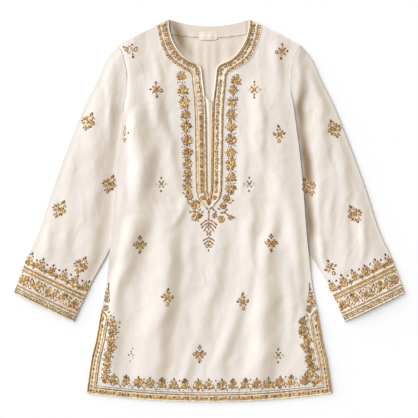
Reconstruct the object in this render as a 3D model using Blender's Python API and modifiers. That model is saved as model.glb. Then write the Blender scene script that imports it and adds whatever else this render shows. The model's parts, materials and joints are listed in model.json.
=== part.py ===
"""Kurta tunic laid flat: a long-sleeved, hip-length tunic with a round neck and a centre slit.

The garment lies in the XY plane with its neck towards +Y and its underside on z = 0.
Tables are in millimetres and are turned into metres as the meshes are made.
"""
import math

import bpy

MM = 0.001

# Cloth, seams and layers
CLOTH = 1.2                 # wall of one cloth layer
SEAM_GAP = 0.45             # between two edges sewn side by side
LAYER_GAP = 0.5             # between the back panel and the front lying on it
TRIM_GAP = 0.35             # between a panel and the band worked on it
BAND_WALL = 0.8             # thickness of a worked band
FACING_WALL = 0.8
LABEL_WALL = 0.6
PIPING_RADIUS = 1.3

# Main sizes
HEM_SIDE_Y = -401.0         # hem corner
HEM_MID_Y = -420.0          # hem at the centre, it bows down
NECK_POINT = (88.0, 420.0)
SLIT_END_Y = 27.0           # lower end of the centre slit
BAND_TIP_Y = 0.0            # point of the worked band below the slit
BORDER_WIDTH = 20.0         # hem and side slit bands
SLIT_BORDER_TOP_Y = -219.0  # top of the side slit bands, below their points
SLIT_BORDER_TIP_Y = -184.0
CUFF_BAND_DEPTH = 92.0

# Side of the body from the shoulder tip down the armhole and the side seam: y, half width
BODY_SIDE = (
    (363.0, 200.0), (342.0, 189.0), (320.0, 183.5), (298.0, 180.4), (265.0, 179.3),
    (232.0, 184.8), (175.0, 192.5), (133.0, 198.0), (45.0, 206.8), (-43.0, 213.4),
    (-87.0, 217.8), (-164.0, 226.6), (-232.0, 239.8), (-283.0, 248.6), (-331.0, 259.6),
    (HEM_SIDE_Y, 269.5),
)

# Sections from the shoulder to the hem: edge x, y of the neck or slit, x, y of the outer
# edge of the worked band there, y at the back's centre line, y where the section meets the side
SECTIONS = (
    (*NECK_POINT, 116.6, 405.5, 405.2, 363.0),
    (86.9, 401.5, 112.5, 386.0, 380.0, 352.0),
    (81.4, 379.5, 106.0, 361.0, 357.0, 342.0),
    (68.2, 354.0, 95.5, 337.5, 336.0, 331.0),
    (52.8, 336.6, 79.0, 322.0, 321.0, 320.0),
    (36.3, 326.7, 61.0, 310.0, 310.0, 309.0),
    (23.0, 321.0, 46.0, 303.0, 303.0, 298.0),
    (16.0, 311.0, 38.2, 296.0, 296.0, 287.0),
    (13.2, 285.0, 36.5, 276.0, 276.0, 265.0),
    (9.2, 254.0, 34.0, 252.0, 252.0, 248.0),
    (6.6, 232.0, 32.6, 232.0, 232.0, 232.0),
    (6.0, 213.0, 31.6, 213.0, 213.0, 213.0),
    (5.5, 190.0, 31.0, 190.0, 190.0, 190.0),
    (5.1, 160.0, 30.6, 160.0, 160.0, 160.0),
    (4.7, 133.0, 30.2, 133.0, 133.0, 133.0),
    (4.3, 103.0, 29.8, 103.0, 103.0, 103.0),
    (3.9, 74.0, 29.4, 74.0, 74.0, 74.0),
    (3.5, 48.0, 28.6, 48.0, 48.0, 48.0),
    (0.0, SLIT_END_Y, 24.2, SLIT_END_Y, SLIT_END_Y, SLIT_END_Y),
    (0.0, BAND_TIP_Y, 16.0, BAND_TIP_Y, BAND_TIP_Y, BAND_TIP_Y),
)
SLIT_SECTIONS = 18          # sections above the lower end of the centre slit
LOWER_SECTION_YS = (-28.0, -56.0, -87.0, -118.0, -150.0, SLIT_BORDER_TIP_Y, SLIT_BORDER_TOP_Y,
                    -256.0, -293.0, -330.0, -366.0)
LOWER_BAND_X = 16.0

# Columns between the worked band and the side border, as shares of that stretch, and the
# columns from the band outwards that the back panel uses as well
FRONT_COLUMNS = (0.10, 0.20, 0.30, 0.40, 0.50, 0.60, 0.70, 0.80, 0.90)
BACK_COLUMN_PICK = (0, 2, 4, 5, 6, 7, 8, 9, 10, 11)
BACK_INNER_SHARES = (0.0, 0.45, 0.8)    # columns between the centre line and the band

# Back neck: its edge, and the lower edge of the facing inside it
BACK_NECK_MID_Y = 405.2
FACING_HALF_WIDTH = 79.0
FACING_SIDE_Y = 387.0
FACING_MID_Y = 379.7
LABEL_SIZE = (40.0, 18.0)
LABEL_CENTRE = (-2.0, 384.0)
PIPING_RISE = 1.15          # piping's centre above the front's underside
PIPING_FOOT_Y = 240.0
STRIP_HALF_WIDTH = 14.0
STRIP_TOP_YS = (258.0, 228.0)
STRIP_FOOT_Y = 18.0
FACING_STEPS = 12

# Sleeve: outer edge from the shoulder to the cuff, inner edge from the underarm to the cuff
SLEEVE_OUTER = (
    (200.9, 363.0), (226.6, 331.0), (244.2, 291.5), (272.8, 234.0), (294.8, 181.5),
    (320.0, 115.5), (345.4, 45.0), (374.0, -43.0), (403.7, -109.0), (430.5, -180.4),
)
SLEEVE_INNER = (
    (136.4, 142.0), (161.0, 80.0), (184.8, 23.0), (201.0, -30.0), (217.0, -82.5),
    (258.5, -160.6), (297.0, -244.6),
)
TUCK_TOP_Y = 213.0          # above this the armhole follows the body side, below it is tucked under
TUCKED_ARMHOLE = ((176.0, 190.0), (165.0, 173.0), (151.0, 156.0))
SLEEVE_LENGTH_STEPS = 22
CUFF_BAND_STEPS = 4
SLEEVE_LAYER_GAP = 0.8      # inside the sleeve, between its two layers
SLEEVE_FOLD_RISE = 2.6      # how far the sleeve's upper layer stands up along its middle

# How the front stands off the back
FRONT_SLACK = 1.1           # away from its edges
COLLAR_STAND = 1.15         # round the neck and the centre slit
HEM_FOLD_SHARE = 0.3        # share of a fold's height left at the hem

# The body is lifted at its sides, where the sleeves are tucked under it
SIDE_LIFT = 3.7
LIFT_TOP_Y = (305.0, 232.0)
LIFT_FOOT_Y = (-150.0, -92.0)
LIFT_SPREAD = (52.0, 12.0)  # distances inside the sleeve's inner edge where it starts and ends

# Largest folds of the front: crest x, y from top to foot, height, left and right widths.
# A crest with its foot below the hem runs out over it.
BODY_FOLDS = (
    (((-178.0, 345.0), (-172.0, 262.0), (-160.0, 185.0), (-142.0, 110.0), (-150.0, 40.0),
      (-158.0, -40.0)), 5.2, 36.0, 26.0),
    (((-112.0, 290.0), (-92.0, 205.0), (-76.0, 135.0)), 2.8, 26.0, 20.0),
    (((-160.0, -60.0), (-188.0, -125.0), (-204.0, -190.0), (-204.0, -250.0), (-198.0, -350.0)),
     3.4, 26.0, 26.0),
    (((-88.0, -30.0), (-94.0, -110.0), (-110.0, -190.0), (-114.0, -290.0), (-128.0, -450.0)),
     5.6, 48.0, 27.0),
    (((14.0, -35.0), (24.0, -110.0), (2.0, -180.0), (-8.0, -290.0)), 3.6, 34.0, 22.0),
    (((46.0, -225.0), (28.0, -300.0), (4.0, -450.0)), 3.0, 28.0, 20.0),
    (((86.0, 30.0), (88.0, -45.0), (86.0, -115.0)), 3.4, 30.0, 18.0),
    (((139.0, 45.0), (130.0, -80.0), (127.0, -170.0), (125.0, -250.0), (106.0, -450.0)),
     6.0, 44.0, 27.0),
    (((108.0, 265.0), (114.0, 170.0), (118.0, 85.0)), 2.8, 28.0, 20.0),
)
# Folds of each sleeve
RIGHT_SLEEVE_FOLDS = (
    (((226.0, 300.0), (240.0, 215.0), (252.0, 130.0), (250.0, 40.0), (244.0, -40.0)),
     2.2, 22.0, 24.0),
    (((304.0, 60.0), (316.0, -20.0), (322.0, -100.0)), 1.6, 26.0, 22.0),
)
LEFT_SLEEVE_FOLDS = (
    (((-214.0, 320.0), (-216.0, 270.0), (-212.0, 215.0)), 1.6, 16.0, 18.0),
    (((-252.0, 150.0), (-256.0, 50.0), (-262.0, -60.0)), 2.4, 34.0, 22.0),
    (((-330.0, 60.0), (-350.0, -40.0), (-362.0, -110.0)), 1.3, 22.0, 24.0),
)

# Cloth colours, roughness
IVORY = (0.80, 0.75, 0.68)
IVORY_INSIDE = (0.72, 0.66, 0.58)
GOLD_WORK = (0.50, 0.31, 0.11)
LABEL_WHITE = (0.86, 0.85, 0.83)


def clear_scene():
    for thing in list(bpy.data.objects):
        bpy.data.objects.remove(thing, do_unlink=True)


def cloth_material(name, colour, roughness, metallic=0.0):
    material = bpy.data.materials.new(name)
    material.use_nodes = True
    shader = material.node_tree.nodes["Principled BSDF"]
    shader.inputs["Base Color"].default_value = (*colour, 1.0)
    shader.inputs["Roughness"].default_value = roughness
    shader.inputs["Metallic"].default_value = metallic
    material.diffuse_color = (*colour, 1.0)
    return material


def ease(start, end, value):
    """Smooth step from 0 at start to 1 at end; start may be the larger."""
    share = min(1.0, max(0.0, (value - start) / (end - start)))
    return share * share * (3.0 - 2.0 * share)


def read_table(table, y):
    """Second column of a table whose first column falls, at y, by straight lines."""
    if y >= table[0][0]:
        return table[0][1]
    for (y_upper, v_upper), (y_lower, v_lower) in zip(table, table[1:]):
        if y >= y_lower:
            share = (y_upper - y) / (y_upper - y_lower)
            return v_upper + share * (v_lower - v_upper)
    return table[-1][1]


def along_path(path, share):
    """Point at a share of a path's length."""
    lengths = [math.dist(a, b) for a, b in zip(path, path[1:])]
    left = share * sum(lengths)
    for (start, end), length in zip(zip(path, path[1:]), lengths):
        if left <= length:
            part = left / length
            return tuple(s + part * (e - s) for s, e in zip(start, end))
        left -= length
    return path[-1]


def body_half_width(y):
    return read_table(BODY_SIDE, y)


def hem_y(x):
    drop = 1.0 - min(1.0, abs(x) / BODY_SIDE[-1][1]) ** 2
    return HEM_SIDE_Y + (HEM_MID_Y - HEM_SIDE_Y) * drop


SLEEVE_INNER_BY_Y = tuple((y, x) for x, y in SLEEVE_INNER)


def side_lift(x, y):
    """Lift of the body over the tucked part of a sleeve."""
    inner = read_table(SLEEVE_INNER_BY_Y, y)
    across = ease(inner - LIFT_SPREAD[0], inner - LIFT_SPREAD[1], abs(x))
    down = ease(LIFT_TOP_Y[0], LIFT_TOP_Y[1], y) * ease(LIFT_FOOT_Y[0], LIFT_FOOT_Y[1], y)
    return SIDE_LIFT * across * down


def fold_height(folds, x, y):
    """Height of the soft folds at a point: each is a ridge with its own two widths."""
    total = 0.0
    for crest, height, left_width, right_width in folds:
        top_y = crest[0][1]
        foot_y = crest[-1][1]
        if not foot_y < y < top_y:
            continue
        crest_x = read_table(tuple((cy, cx) for cx, cy in crest), y)
        offset = x - crest_x
        width = right_width if offset > 0.0 else left_width
        if abs(offset) >= width:
            continue
        ends = math.sin(math.pi * (top_y - y) / (top_y - foot_y)) ** 0.6
        total += height * ends * math.cos(0.5 * math.pi * offset / width) ** 2
    return total


def front_underside(x, y):
    """Height of the front panel's underside."""
    from_side = body_half_width(y) - abs(x)
    from_hem = y - hem_y(x)
    slack = FRONT_SLACK * ease(6.0, 55.0, from_side) * ease(0.0, 40.0, from_hem)
    collar = ease(60.0, 95.0, from_side) * ease(150.0, 120.0, abs(x)) * ease(-30.0, 20.0, y)
    at_hem = HEM_FOLD_SHARE + (1.0 - HEM_FOLD_SHARE) * ease(0.0, 60.0, from_hem)
    folds = fold_height(BODY_FOLDS, x, y) * ease(2.0, 30.0, from_side) * at_hem
    return CLOTH + LAYER_GAP + side_lift(x, y) + max(slack, COLLAR_STAND * collar) + folds


def between(start, end, shares):
    """Points of the straight stretch between two points, at the shares."""
    return [tuple(s + share * (e - s) for s, e in zip(start, end)) for share in shares]


def section_rows():
    """Right half of the body, as rows of points from the neck, slit or centre to the side."""
    sections = [(row[0:2], row[2:4], row[5]) for row in SECTIONS]
    for y in LOWER_SECTION_YS:
        sections.append(((0.0, y), (LOWER_BAND_X, y), y))
    for above_hem in (BORDER_WIDTH, 0.0):
        y = HEM_SIDE_Y + above_hem
        sections.append(((0.0, y), (LOWER_BAND_X, y), y))
    rows = []
    for edge, band, side_y in sections:
        side = (body_half_width(side_y), side_y)
        border = 1.0 - BORDER_WIDTH / math.dist(band, side)
        shares = (0.0, *(column * border for column in FRONT_COLUMNS), border, 1.0)
        middle = between(edge, band, (0.5,))
        rows.append([edge, *middle, *between(band, side, shares)])
    rows[-2] = [(x, hem_y(x) + BORDER_WIDTH) for x, _ in rows[-2]]
    rows[-1] = [(x, hem_y(x)) for x, _ in rows[-1]]
    return rows


def back_rows(rows):
    """Right half of the back: the front's points beyond its band, and plain cloth inside."""
    result = []
    for row, section in zip(rows, SECTIONS):
        centre = (0.0, section[4])
        inner = between(centre, row[2], BACK_INNER_SHARES)
        result.append(inner + [row[2 + pick] for pick in BACK_COLUMN_PICK])
    result[0][:3] = [(x, back_neck_y(x)) for x in (0.0, 0.57 * NECK_POINT[0], NECK_POINT[0])]
    for row in rows[len(SECTIONS):]:
        inner = between(row[0], row[2], BACK_INNER_SHARES)
        result.append(inner + [row[2 + pick] for pick in BACK_COLUMN_PICK])
    return result


def back_neck_y(x):
    return BACK_NECK_MID_Y + (NECK_POINT[1] - BACK_NECK_MID_Y) * (x / NECK_POINT[0]) ** 2


def mirrored(rows):
    return [[(-x, y) for x, y in reversed(row)] for row in rows]


def drawn_in(row, amount):
    """The row with both ends moved inwards, to leave a seam's gap."""
    result = list(row)
    for end, neighbour in ((0, 1), (-1, -2)):
        share = amount / math.dist(row[end], row[neighbour])
        result[end] = between(row[end], row[neighbour], (share,))[0]
    return result


def cell_faces(a, b, c, d, flip):
    """Two faces of a cell a-b over d-c, without those that a shared point closes."""
    pair = ((a, d, b), (b, d, c)) if flip else ((a, d, c), (a, c, b))
    return [face for face in pair if len(set(face)) == 3]


def sheet_object(name, grids, height, wall, material, parts):
    """Sheet through grids of (x, y) points, with its underside at height(x, y).

    Every cell is cut along the same diagonal, mirrored on the left, so that a band made on
    the points of a panel lies parallel to it. A point that rows share is made once.
    """
    vertices = []
    index_of = {}
    faces = []
    for rows in grids:
        lines = []
        for row in rows:
            for x, y in row:
                key = (round(x, 3), round(y, 3))
                if key not in index_of:
                    index_of[key] = len(vertices)
                    vertices.append((x * MM, y * MM, height(x, y) * MM))
            lines.append([index_of[(round(x, 3), round(y, 3))] for x, y in row])
        for upper, lower in zip(lines, lines[1:]):
            for a, b, c, d in zip(upper, upper[1:], lower[1:], lower):
                left_half = vertices[b][0] + vertices[d][0] < 0.0
                faces += cell_faces(a, b, c, d, left_half)
    thing = new_object(name, vertices, faces, material, parts)
    thicken(thing, wall, 1.0)
    return thing


def new_object(name, vertices, faces, material, parts):
    mesh = bpy.data.meshes.new(name)
    mesh.from_pydata(vertices, [], faces)
    mesh.update()
    mesh.materials.append(material)
    thing = bpy.data.objects.new(name, mesh)
    parts.objects.link(thing)
    return thing


def thicken(thing, wall, outward):
    solidify = thing.modifiers.new("wall", "SOLIDIFY")
    solidify.thickness = wall * MM
    solidify.offset = outward
    solidify.use_even_offset = True
    solidify.use_rim = True


def flat_height(value):
    return lambda x, y: value


def above_front(x, y):
    return front_underside(x, y) + CLOTH + TRIM_GAP


def make_body(parts, ivory, inside):
    rows = section_rows()
    sheet_object("front_panel", (rows, mirrored(rows)), front_underside, CLOTH, ivory, parts)
    rows = back_rows(rows)
    sheet_object("back_panel", (rows, mirrored(rows)), side_lift, CLOTH, inside, parts)


def make_neck(parts, ivory, inside, worked, white):
    band = [row[:3] for row in section_rows()[:SLIT_SECTIONS + 1]]
    band.append([(0.0, BAND_TIP_Y)] * 3)
    sheet_object("neck_band", (band, mirrored(band)), above_front, BAND_WALL, worked, parts)
    strip_top = [(-STRIP_HALF_WIDTH, STRIP_TOP_YS[0]), (STRIP_HALF_WIDTH, STRIP_TOP_YS[1])]
    strip_foot = [(-STRIP_HALF_WIDTH, STRIP_FOOT_Y), (STRIP_HALF_WIDTH, STRIP_FOOT_Y)]
    on_back = flat_height(CLOTH + TRIM_GAP)
    sheet_object("placket_strip", ([strip_top, strip_foot],), on_back, FACING_WALL, ivory, parts)
    facing = []
    for lower in (0.0, 1.0):
        row = []
        for step in range(FACING_STEPS + 1):
            x = FACING_HALF_WIDTH * (2.0 * step / FACING_STEPS - 1.0)
            sag = 1.0 - (x / FACING_HALF_WIDTH) ** 2
            foot = FACING_SIDE_Y + (FACING_MID_Y - FACING_SIDE_Y) * sag
            row.append((x, back_neck_y(x) + lower * (foot - back_neck_y(x))))
        facing.append(row)
    sheet_object("back_neck_facing", (facing,), on_back, FACING_WALL, inside, parts)
    make_label(parts, white)
    make_piping(parts, ivory)


def make_label(parts, white):
    """Bare label with rounded ends."""
    bpy.ops.mesh.primitive_cube_add(size=1.0)
    label = bpy.context.object
    label.name = "neck_label"
    width, length = LABEL_SIZE
    base = CLOTH + 2.0 * TRIM_GAP + FACING_WALL
    centre = (*LABEL_CENTRE, base + 0.5 * LABEL_WALL)
    for vertex in label.data.vertices:
        size = (width, length, LABEL_WALL)
        vertex.co = [(c * s + o) * MM for c, s, o in zip(vertex.co, size, centre)]
    bevel = label.modifiers.new("round_ends", "BEVEL")
    bevel.width = 0.4 * length * MM
    bevel.segments = 4
    bevel.affect = "EDGES"
    bevel.limit_method = "WEIGHT"
    upright = label.data.attributes.new("bevel_weight_edge", "FLOAT", "EDGE")
    for edge in label.data.edges:
        first, second = (label.data.vertices[i].co for i in edge.vertices)
        upright.data[edge.index].value = 1.0 if abs(first.z - second.z) > 0.1 * MM else 0.0
    label.data.materials.append(white)
    for holder in list(label.users_collection):
        holder.objects.unlink(label)
    parts.objects.link(label)


def neck_edge():
    """Right half of the neck edge, from the neck point to the foot of the piping."""
    points = [row[:2] for row in SECTIONS if row[1] > PIPING_FOOT_Y]
    below = SECTIONS[len(points)]
    share = (points[-1][1] - PIPING_FOOT_Y) / (points[-1][1] - below[1])
    return points + between(points[-1], below[:2], (share,))


def offset_inwards(edge, inset):
    """The edge moved towards the opening, with its corners mitred."""
    moved = []
    for index, point in enumerate(edge):
        normals = []
        nearby = edge[max(0, index - 1):index + 2]
        for start, end in zip(nearby, nearby[1:]):
            reach = math.dist(start, end)
            normals.append(((end[1] - start[1]) / reach, (start[0] - end[0]) / reach))
        mean = [sum(shares) / len(normals) for shares in zip(*normals)]
        stretch = inset / (mean[0] ** 2 + mean[1] ** 2)
        moved.append((point[0] + stretch * mean[0], point[1] + stretch * mean[1]))
    return moved


def make_piping(parts, ivory):
    edge = neck_edge()
    route = offset_inwards(edge, SEAM_GAP + PIPING_RADIUS)
    for side, name in ((1.0, "neck_piping_right"), (-1.0, "neck_piping_left")):
        curve = bpy.data.curves.new(name, "CURVE")
        curve.dimensions = "3D"
        curve.bevel_depth = PIPING_RADIUS * MM
        curve.bevel_resolution = 2
        curve.use_fill_caps = True
        spline = curve.splines.new("POLY")
        spline.points.add(len(route) - 1)
        for point, (x, y), (edge_x, edge_y) in zip(spline.points, route, edge):
            z = front_underside(edge_x, edge_y) + PIPING_RISE
            point.co = (side * x * MM, y * MM, z * MM, 1.0)
        piping = bpy.data.objects.new(name, curve)
        curve.materials.append(ivory)
        parts.objects.link(piping)


def make_hem(parts, worked):
    rows = section_rows()
    hem = [row[:-1] for row in rows[-2:]]
    whole = [mirrored([row])[0][:-1] + row for row in hem]
    whole = [drawn_in(row, SEAM_GAP) for row in whole]
    sheet_object("hem_border", (whole,), above_front, BAND_WALL, worked, parts)
    first = len(SECTIONS) + LOWER_SECTION_YS.index(SLIT_BORDER_TOP_Y)
    tip = rows[first - 1][-1]
    border = [[tip, tip]] + [row[-2:] for row in rows[first:]]
    sheet_object("slit_border_right", (border,), above_front, BAND_WALL, worked, parts)
    sheet_object("slit_border_left", (mirrored(border),), above_front, BAND_WALL, worked, parts)


def armhole():
    """Sleeve's end, from the shoulder tip down the body's side and under it to the underarm."""
    points = [SLEEVE_OUTER[0]]
    for section in SECTIONS[1:]:
        side_y = section[5]
        if side_y >= TUCK_TOP_Y:
            points.append((body_half_width(side_y) + SEAM_GAP, side_y))
    return points + list(TUCKED_ARMHOLE) + [SLEEVE_INNER[0]]


def step_share(path, step):
    """Share of an edge at a step: the last steps cut the cuff band evenly."""
    length = sum(math.dist(a, b) for a, b in zip(path, path[1:]))
    cuff = CUFF_BAND_DEPTH / length
    upper_steps = SLEEVE_LENGTH_STEPS - CUFF_BAND_STEPS
    if step <= upper_steps:
        return (step / upper_steps) * (1.0 - cuff)
    return 1.0 - cuff * (SLEEVE_LENGTH_STEPS - step) / CUFF_BAND_STEPS


def sleeve_rows():
    """Right sleeve's plan, as rows of points from its outer edge to its inner edge."""
    end = armhole()
    lengths = [math.dist(a, b) for a, b in zip(end, end[1:])]
    shares = [sum(lengths[:count]) / sum(lengths) for count in range(len(end))]
    chord = between(end[0], end[-1], shares)
    rows = []
    for step in range(SLEEVE_LENGTH_STEPS + 1):
        outer = along_path(SLEEVE_OUTER, step_share(SLEEVE_OUTER, step))
        inner = along_path(SLEEVE_INNER, step_share(SLEEVE_INNER, step))
        keep = (1.0 - step / SLEEVE_LENGTH_STEPS) ** 3
        row = []
        for straight, at_end, on_chord in zip(between(outer, inner, shares), end, chord):
            row.append(tuple(s + keep * (e - c) for s, e, c in zip(straight, at_end, on_chord)))
        rows.append(row)
    return rows


def sleeve_top(x, y, folds):
    """Height of a sleeve's upper face; it is pressed flat where the body lies on it."""
    outside = abs(x) - body_half_width(y)
    free = ease(10.0, 48.0, outside) if y > LIFT_FOOT_Y[0] else 1.0
    from_edge = min(edge_distance(edge, abs(x), y) for edge in (SLEEVE_OUTER, SLEEVE_INNER))
    stand = SLEEVE_FOLD_RISE * ease(1.0, 38.0, from_edge)
    folds_here = fold_height(folds, x, y) * ease(1.0, 22.0, from_edge)
    return 2.0 * CLOTH + SLEEVE_LAYER_GAP + free * (stand + folds_here)


def edge_distance(path, x, y):
    """Distance from a point to a path."""
    nearest = math.inf
    for (x0, y0), (x1, y1) in zip(path, path[1:]):
        length = math.dist((x0, y0), (x1, y1))
        along = ((x - x0) * (x1 - x0) + (y - y0) * (y1 - y0)) / length
        along = min(length, max(0.0, along))
        foot = (x0 + along * (x1 - x0) / length, y0 + along * (y1 - y0) / length)
        nearest = min(nearest, math.dist((x, y), foot))
    return nearest


def loft_faces(row_count, size, side, closed):
    """Faces through rows of as many points each; the right side's are turned over."""
    faces = []
    for row in range(row_count - 1):
        for column in range(size if closed else size - 1):
            a = row * size + column
            b = row * size + (column + 1) % size
            faces += cell_faces(a, b, b + size, a + size, False)
    return faces if side < 0.0 else [face[::-1] for face in faces]


def make_sleeve(name, side, folds, parts, ivory):
    """Flattened tube: rings run from the inner fold over the top to the outer fold and back."""
    rows = sleeve_rows()
    fold_radius = 0.5 * (2.0 * CLOTH + SLEEVE_LAYER_GAP)
    slant = fold_radius * (1.0 - math.sqrt(0.5))
    rings = []
    for row in rows:
        near_outer = step_in(row[0], row[1], fold_radius)
        near_inner = step_in(row[-1], row[-2], fold_radius)
        slant_outer = step_in(row[0], row[1], slant)
        slant_inner = step_in(row[-1], row[-2], slant)
        flat = [near_outer, *row[1:-1], near_inner]
        high = 2.0 * fold_radius - slant
        ring = [(*row[0], fold_radius), (*slant_outer, high)]
        ring += [(x, y, None) for x, y in flat]
        ring += [(*slant_inner, high), (*row[-1], fold_radius), (*slant_inner, slant)]
        ring += [(x, y, 0.0) for x, y in reversed(flat)]
        ring += [(*slant_outer, slant)]
        rings.append(ring)
    vertices = []
    for ring in rings:
        for x, y, z in ring:
            if z is None:
                z = sleeve_top(side * x, y, folds)
            vertices.append((side * x * MM, y * MM, z * MM))
    faces = loft_faces(len(rings), len(rings[0]), side, closed=True)
    sleeve = new_object(name, vertices, faces, ivory, parts)
    thicken(sleeve, CLOTH, -1.0)


def step_in(start, towards, amount):
    return between(start, towards, (amount / math.dist(start, towards),))[0]


def make_cuff_border(name, side, folds, parts, worked):
    rows = [row[1:-1] for row in sleeve_rows()[-CUFF_BAND_STEPS - 1:]]
    vertices = []
    for row in rows:
        for x, y in row:
            z = sleeve_top(side * x, y, folds) + TRIM_GAP
            vertices.append((side * x * MM, y * MM, z * MM))
    faces = loft_faces(len(rows), len(rows[0]), side, closed=False)
    border = new_object(name, vertices, faces, worked, parts)
    thicken(border, BAND_WALL, 1.0)


def main():
    clear_scene()
    parts = bpy.data.collections.new("kurta_tunic")
    bpy.context.scene.collection.children.link(parts)
    ivory = cloth_material("ivory_cloth", IVORY, 0.75)
    inside = cloth_material("inside_cloth", IVORY_INSIDE, 0.8)
    worked = cloth_material("gold_work", GOLD_WORK, 0.5)
    white = cloth_material("label_white", LABEL_WHITE, 0.6)
    make_body(parts, ivory, inside)
    make_neck(parts, ivory, inside, worked, white)
    make_hem(parts, worked)
    for name, side, folds in (("left", -1.0, LEFT_SLEEVE_FOLDS), ("right", 1.0, RIGHT_SLEEVE_FOLDS)):
        make_sleeve("sleeve_" + name, side, folds, parts, ivory)
        make_cuff_border("cuff_border_" + name, side, folds, parts, worked)


main()
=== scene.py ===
"""Kurta tunic laid flat and seen from straight above, with gold and brown thread and bead work.

Tables of places and sizes are in millimetres, x across the garment, y towards its neck and
z up off the surface; they are turned into metres as each mesh is made.
"""
import json
import math

import bmesh
import bpy
import numpy as np
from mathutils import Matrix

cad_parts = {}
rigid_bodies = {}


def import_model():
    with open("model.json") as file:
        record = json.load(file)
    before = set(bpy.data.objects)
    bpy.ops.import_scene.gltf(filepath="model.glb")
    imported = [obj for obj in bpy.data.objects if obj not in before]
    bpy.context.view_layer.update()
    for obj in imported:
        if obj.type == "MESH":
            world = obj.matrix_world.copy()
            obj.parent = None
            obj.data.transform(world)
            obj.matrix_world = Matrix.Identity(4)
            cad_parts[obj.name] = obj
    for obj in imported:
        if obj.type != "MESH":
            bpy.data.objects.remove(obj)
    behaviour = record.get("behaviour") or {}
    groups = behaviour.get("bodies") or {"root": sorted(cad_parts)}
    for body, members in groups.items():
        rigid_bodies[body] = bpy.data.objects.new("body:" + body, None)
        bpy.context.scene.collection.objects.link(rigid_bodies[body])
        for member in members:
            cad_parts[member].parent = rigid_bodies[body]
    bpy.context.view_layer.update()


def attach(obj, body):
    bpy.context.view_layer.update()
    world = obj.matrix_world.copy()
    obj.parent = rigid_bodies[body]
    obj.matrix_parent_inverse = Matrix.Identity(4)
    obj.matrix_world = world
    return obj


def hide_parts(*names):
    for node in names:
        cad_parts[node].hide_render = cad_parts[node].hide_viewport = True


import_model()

MM = 0.001

# The pale surface
# A smooth white board that the tunic is laid on. It is only the stage.
BOARD_SIZE = 8.0
BOARD_DROP = 0.0004
bpy.ops.mesh.primitive_plane_add(size=BOARD_SIZE, location=(0.0, 0.0, -BOARD_DROP))
board = bpy.context.object
board.name = "white_board"
board_white = bpy.data.materials.new("board_white")
board_white.use_nodes = True
board_shader = board_white.node_tree.nodes["Principled BSDF"]
board_shader.inputs["Base Color"].default_value = (0.955, 0.970, 0.985, 1.0)
board_shader.inputs["Roughness"].default_value = 0.9
board_shader.inputs["Specular IOR Level"].default_value = 0.1
board.data.materials.append(board_white)

# Daylight from the upper left, low enough to show the folds, in a pale room
SUN_HEIGHT = 27.0        # degrees above the board
SUN_FROM = 152.0         # degrees round from +X
SUN_STRENGTH = 4.75
SUN_SPREAD = 70.0
ROOM_LIGHT = 0.36
sun = bpy.data.lights.new("sun", "SUN")
sun.energy = SUN_STRENGTH
sun.angle = math.radians(SUN_SPREAD)
sun.color = (1.0, 1.0, 1.02)
sunlight = bpy.data.objects.new("sun", sun)
sunlight.rotation_euler = (math.radians(90.0 - SUN_HEIGHT), 0.0, math.radians(SUN_FROM + 90.0))
bpy.context.collection.objects.link(sunlight)
room = bpy.data.worlds.new("room")
room.use_nodes = True
room.node_tree.nodes["Background"].inputs["Color"].default_value = (1.0, 0.94, 0.865, 1.0)
room.node_tree.nodes["Background"].inputs["Strength"].default_value = ROOM_LIGHT
bpy.context.scene.world = room
bpy.context.scene.view_settings.view_transform = "Standard"

# The camera hangs straight over the garment, and its view is 920 mm across
VIEW_WIDTH = 0.920
LENS = 70.0
SENSOR = 36.0
VIEW_CENTRE_Y = 0.0033
eye = bpy.data.cameras.new("eye")
eye.lens = LENS
eye.sensor_width = SENSOR
camera = bpy.data.objects.new("eye", eye)
camera.location = (0.0, VIEW_CENTRE_Y, VIEW_WIDTH * LENS / SENSOR)
bpy.context.collection.objects.link(camera)
bpy.context.scene.camera = camera

# Back panel
# The whole back, cut in one from ivory cotton silk. It lies on the board and shows only
# inside the neck. Where the sleeves are tucked under it, it is lifted over them.
CLOTH = 1.2
LAYER_GAP = 0.5
HEM_SIDE_Y = -401.0
HEM_MID_Y = -420.0
NECK_POINT = (88.0, 420.0)
BACK_NECK_MID_Y = 405.2
BORDER_WIDTH = 20.0
BODY_SIDE = (
    (HEM_SIDE_Y, 269.5), (-331.0, 259.6), (-283.0, 248.6), (-232.0, 239.8), (-164.0, 226.6),
    (-87.0, 217.8), (-43.0, 213.4), (45.0, 206.8), (133.0, 198.0), (175.0, 192.5),
    (232.0, 184.8), (265.0, 179.3), (298.0, 180.4), (320.0, 183.5), (342.0, 189.0),
    (363.0, 200.0),
)
SLEEVE_INNER = (
    (136.4, 142.0), (161.0, 80.0), (184.8, 23.0), (201.0, -30.0), (217.0, -82.5),
    (258.5, -160.6), (297.0, -244.6),
)
SIDE_LIFT = 3.7
LIFT_TOP_Y = (305.0, 232.0)
LIFT_FOOT_Y = (-150.0, -92.0)
LIFT_SPREAD = (52.0, 12.0)
CRUSH_STRENGTH = 0.5       # of the finest crush, which is only in the material
RUMPLE_STRETCH = 0.62      # crush and rumples run lengthwise
# Unit vector towards the sun, and the warm painted shade given to cloth turned away from it
sun_height, sun_from = math.radians(SUN_HEIGHT), math.radians(SUN_FROM)
SUN_WAY = (math.cos(sun_height) * math.cos(sun_from), math.cos(sun_height) * math.sin(sun_from),
           math.sin(sun_height))
PAINTED_WARM_SHADE_TINT = (0.960, 0.912, 0.825)
# Painted shade: the darkest colour multiplied into the cloth where its 'shade' attribute is full
PAINTED_SHADE_TINT = (0.34, 0.25, 0.14)      # the cloth's colour far down in a fold, as a share of its own
BACK_RIPPLES = (      # soft pleats under the facing: x, half width, height
    (-46.0, 10.0, 1.3), (-22.0, 8.0, 1.7), (-4.0, 8.0, 2.0), (13.0, 8.0, 1.8), (41.0, 11.0, 1.4),
)
BACK_RIPPLE_YS = (381.0, 362.0, 250.0, 190.0)


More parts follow.
